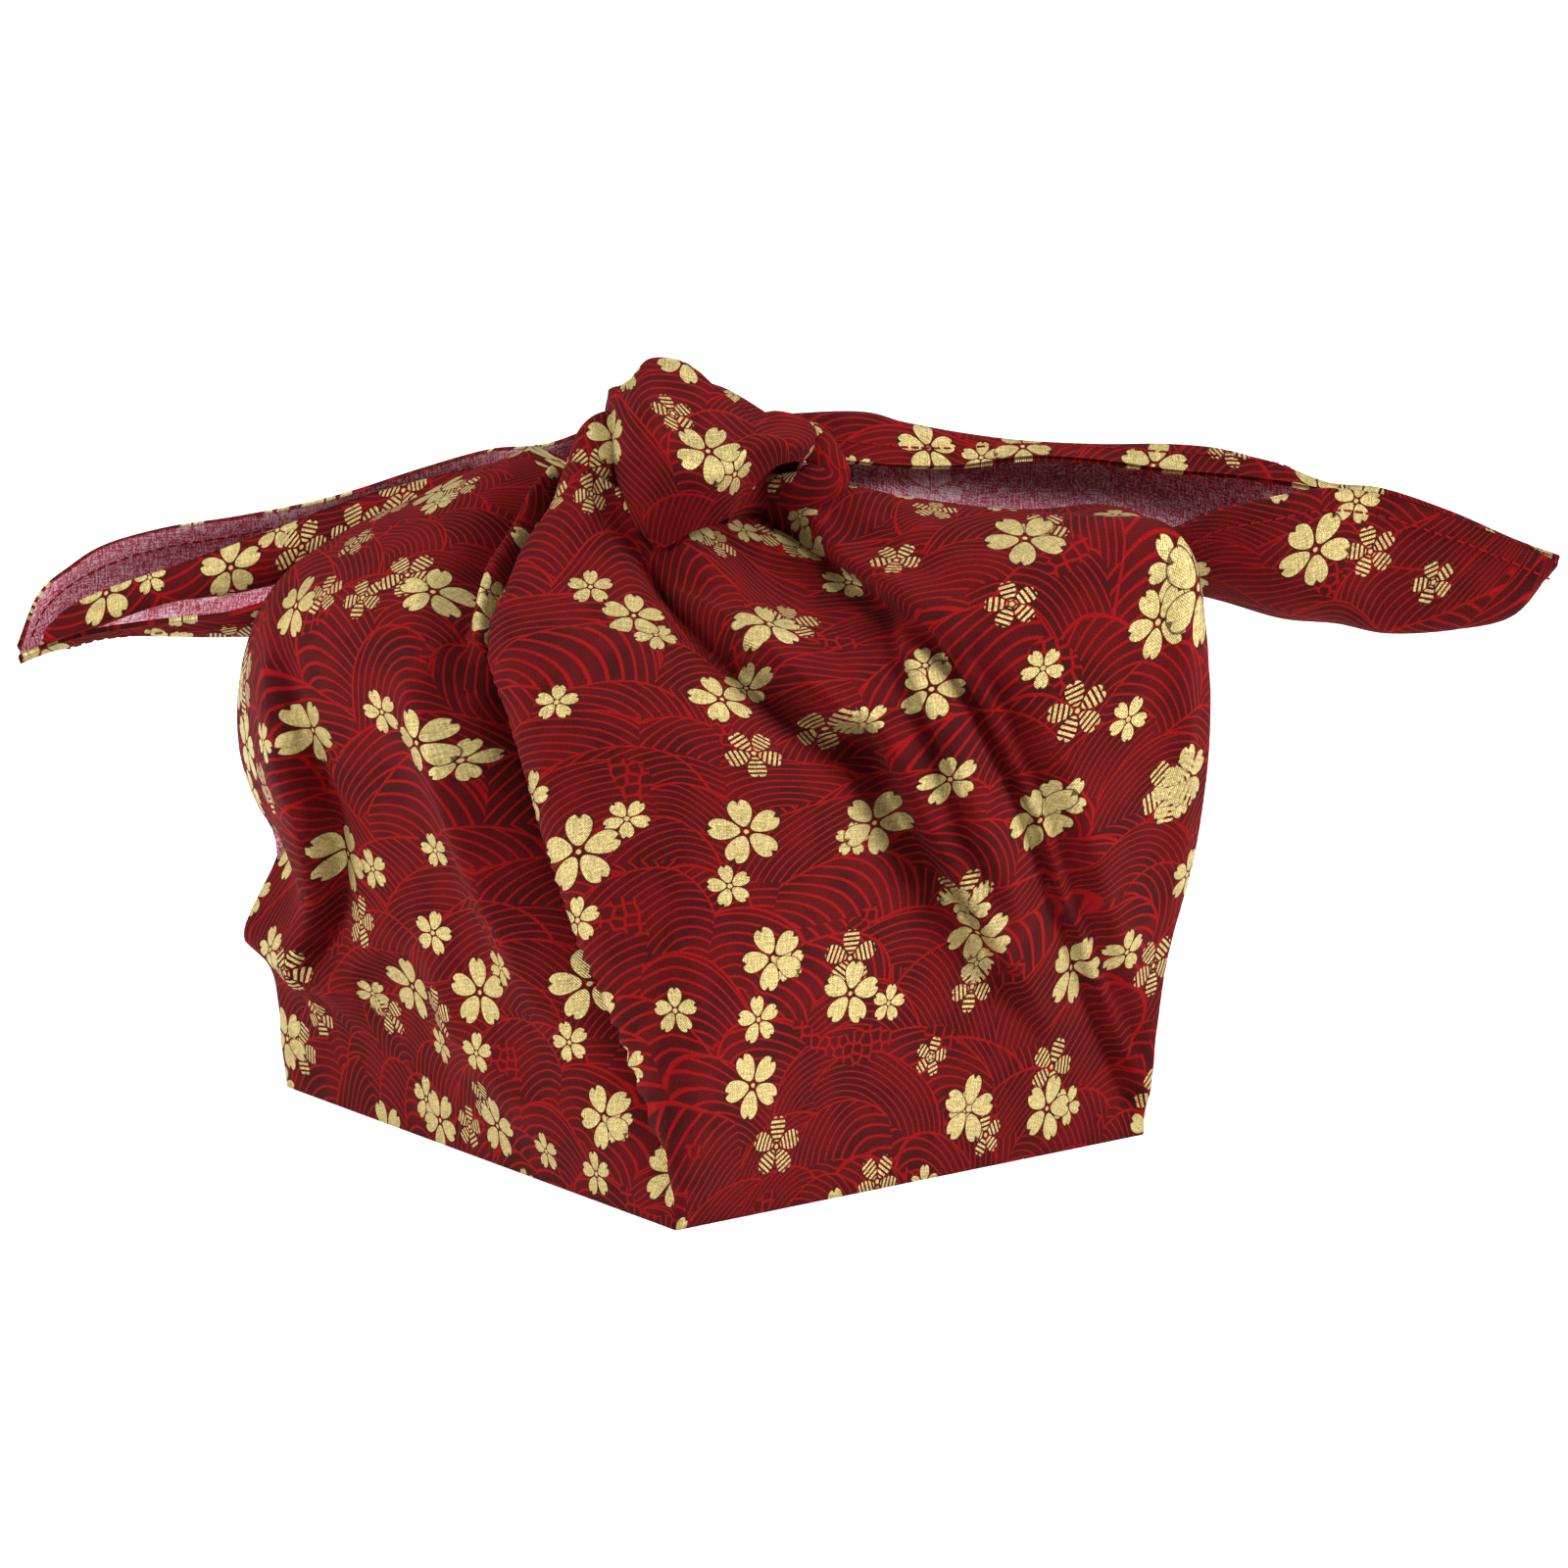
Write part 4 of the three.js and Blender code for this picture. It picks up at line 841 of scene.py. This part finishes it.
# the rows leave out the steps of the free end that lie in the knot and at its tip
for name, (grid, rise, from_rim), skip in (("right_hem", right_end, (12, 4)), ("left_hem", left_end, (20, 4))):
    middle = grid.shape[1] // 2
    for rim, columns in (("far", slice(0, middle)), ("near", slice(middle, None))):
        for side, sign in (("outside", 1), ("inside", -1)):
            points = []
            for i in range(skip[0], len(grid) - skip[1]):
                order = np.argsort(from_rim[i, columns])
                if from_rim[i, columns].max() < HEM:
                    continue
                spots = (grid[i, columns] + sign * rise[i, columns])[order]
                away = from_rim[i, columns][order]
                points.append([np.interp(HEM - STITCH_INSET, away, spots[:, k]) for k in range(3)])
            sew(f"{name}_{rim}_{side}", points, seed)
            seed += 1

# Studio
# A plain pale floor, soft light from the left, the right and above, and the photograph's
# camera, 1.5 m away and tilted down.
PHOTO_SIDE = 1600
CAMERA_FAR, PIXEL_WIDE, SENSOR = 1500, 0.19, 36  # mm
FOCAL_PIXELS = CAMERA_FAR / PIXEL_WIDE
CAMERA_AT, CAMERA_TILT = Vector((0.0144, -1.46388, 0.39251)), math.radians(12.6)
floor_mesh = bpy.data.meshes.new("floor")
floor_mesh.from_pydata([(-6, -6, 0), (6, -6, 0), (6, 6, 0), (-6, 6, 0)], [], [(0, 1, 2, 3)])
floor = bpy.data.objects.new("floor", floor_mesh)
bpy.context.scene.collection.objects.link(floor)
floor_paint = bpy.data.materials.new("pale_floor")
floor_paint.use_nodes = True
floor_shader = floor_paint.node_tree.nodes["Principled BSDF"]
floor_shader.inputs["Base Color"].default_value = (0.83, 0.82, 0.81, 1)
floor_shader.inputs["Roughness"].default_value = 0.6
floor_shader.inputs["Emission Color"].default_value = (1, 1, 1, 1)
floor_shader.inputs["Emission Strength"].default_value = 0.62
floor_mesh.materials.append(floor_paint)

lens = bpy.data.cameras.new("photo_camera")
lens.sensor_width = SENSOR
lens.lens = FOCAL_PIXELS * SENSOR / PHOTO_SIDE
camera = bpy.data.objects.new("photo_camera", lens)
camera.location = CAMERA_AT
view_line = Vector((0, math.cos(CAMERA_TILT), -math.sin(CAMERA_TILT)))
camera.rotation_euler = view_line.to_track_quat("-Z", "Y").to_euler()
bpy.context.scene.collection.objects.link(camera)
bpy.context.scene.camera = camera

for name, place, power, size in (
    ("left_light", (-1.4, -0.35, 0.75), 27, 0.8),
    ("right_light", (1.4, -0.3, 0.8), 32, 0.8),
    ("top_light", (0.1, -0.1, 1.5), 13, 0.6),
):
    lamp = bpy.data.lights.new(name, "AREA")
    lamp.energy, lamp.size = power, size
    light = bpy.data.objects.new(name, lamp)
    light.location = place
    light.rotation_euler = (Vector((0, 0, 0.07)) - Vector(place)).to_track_quat("-Z", "Y").to_euler()
    bpy.context.scene.collection.objects.link(light)
world = bpy.data.worlds.new("studio")
world.use_nodes = True
world.node_tree.nodes["Background"].inputs[0].default_value = (1, 1, 1, 1)
world.node_tree.nodes["Background"].inputs[1].default_value = 0.25
bpy.context.scene.world = world
bpy.context.scene.view_settings.view_transform = "Standard"
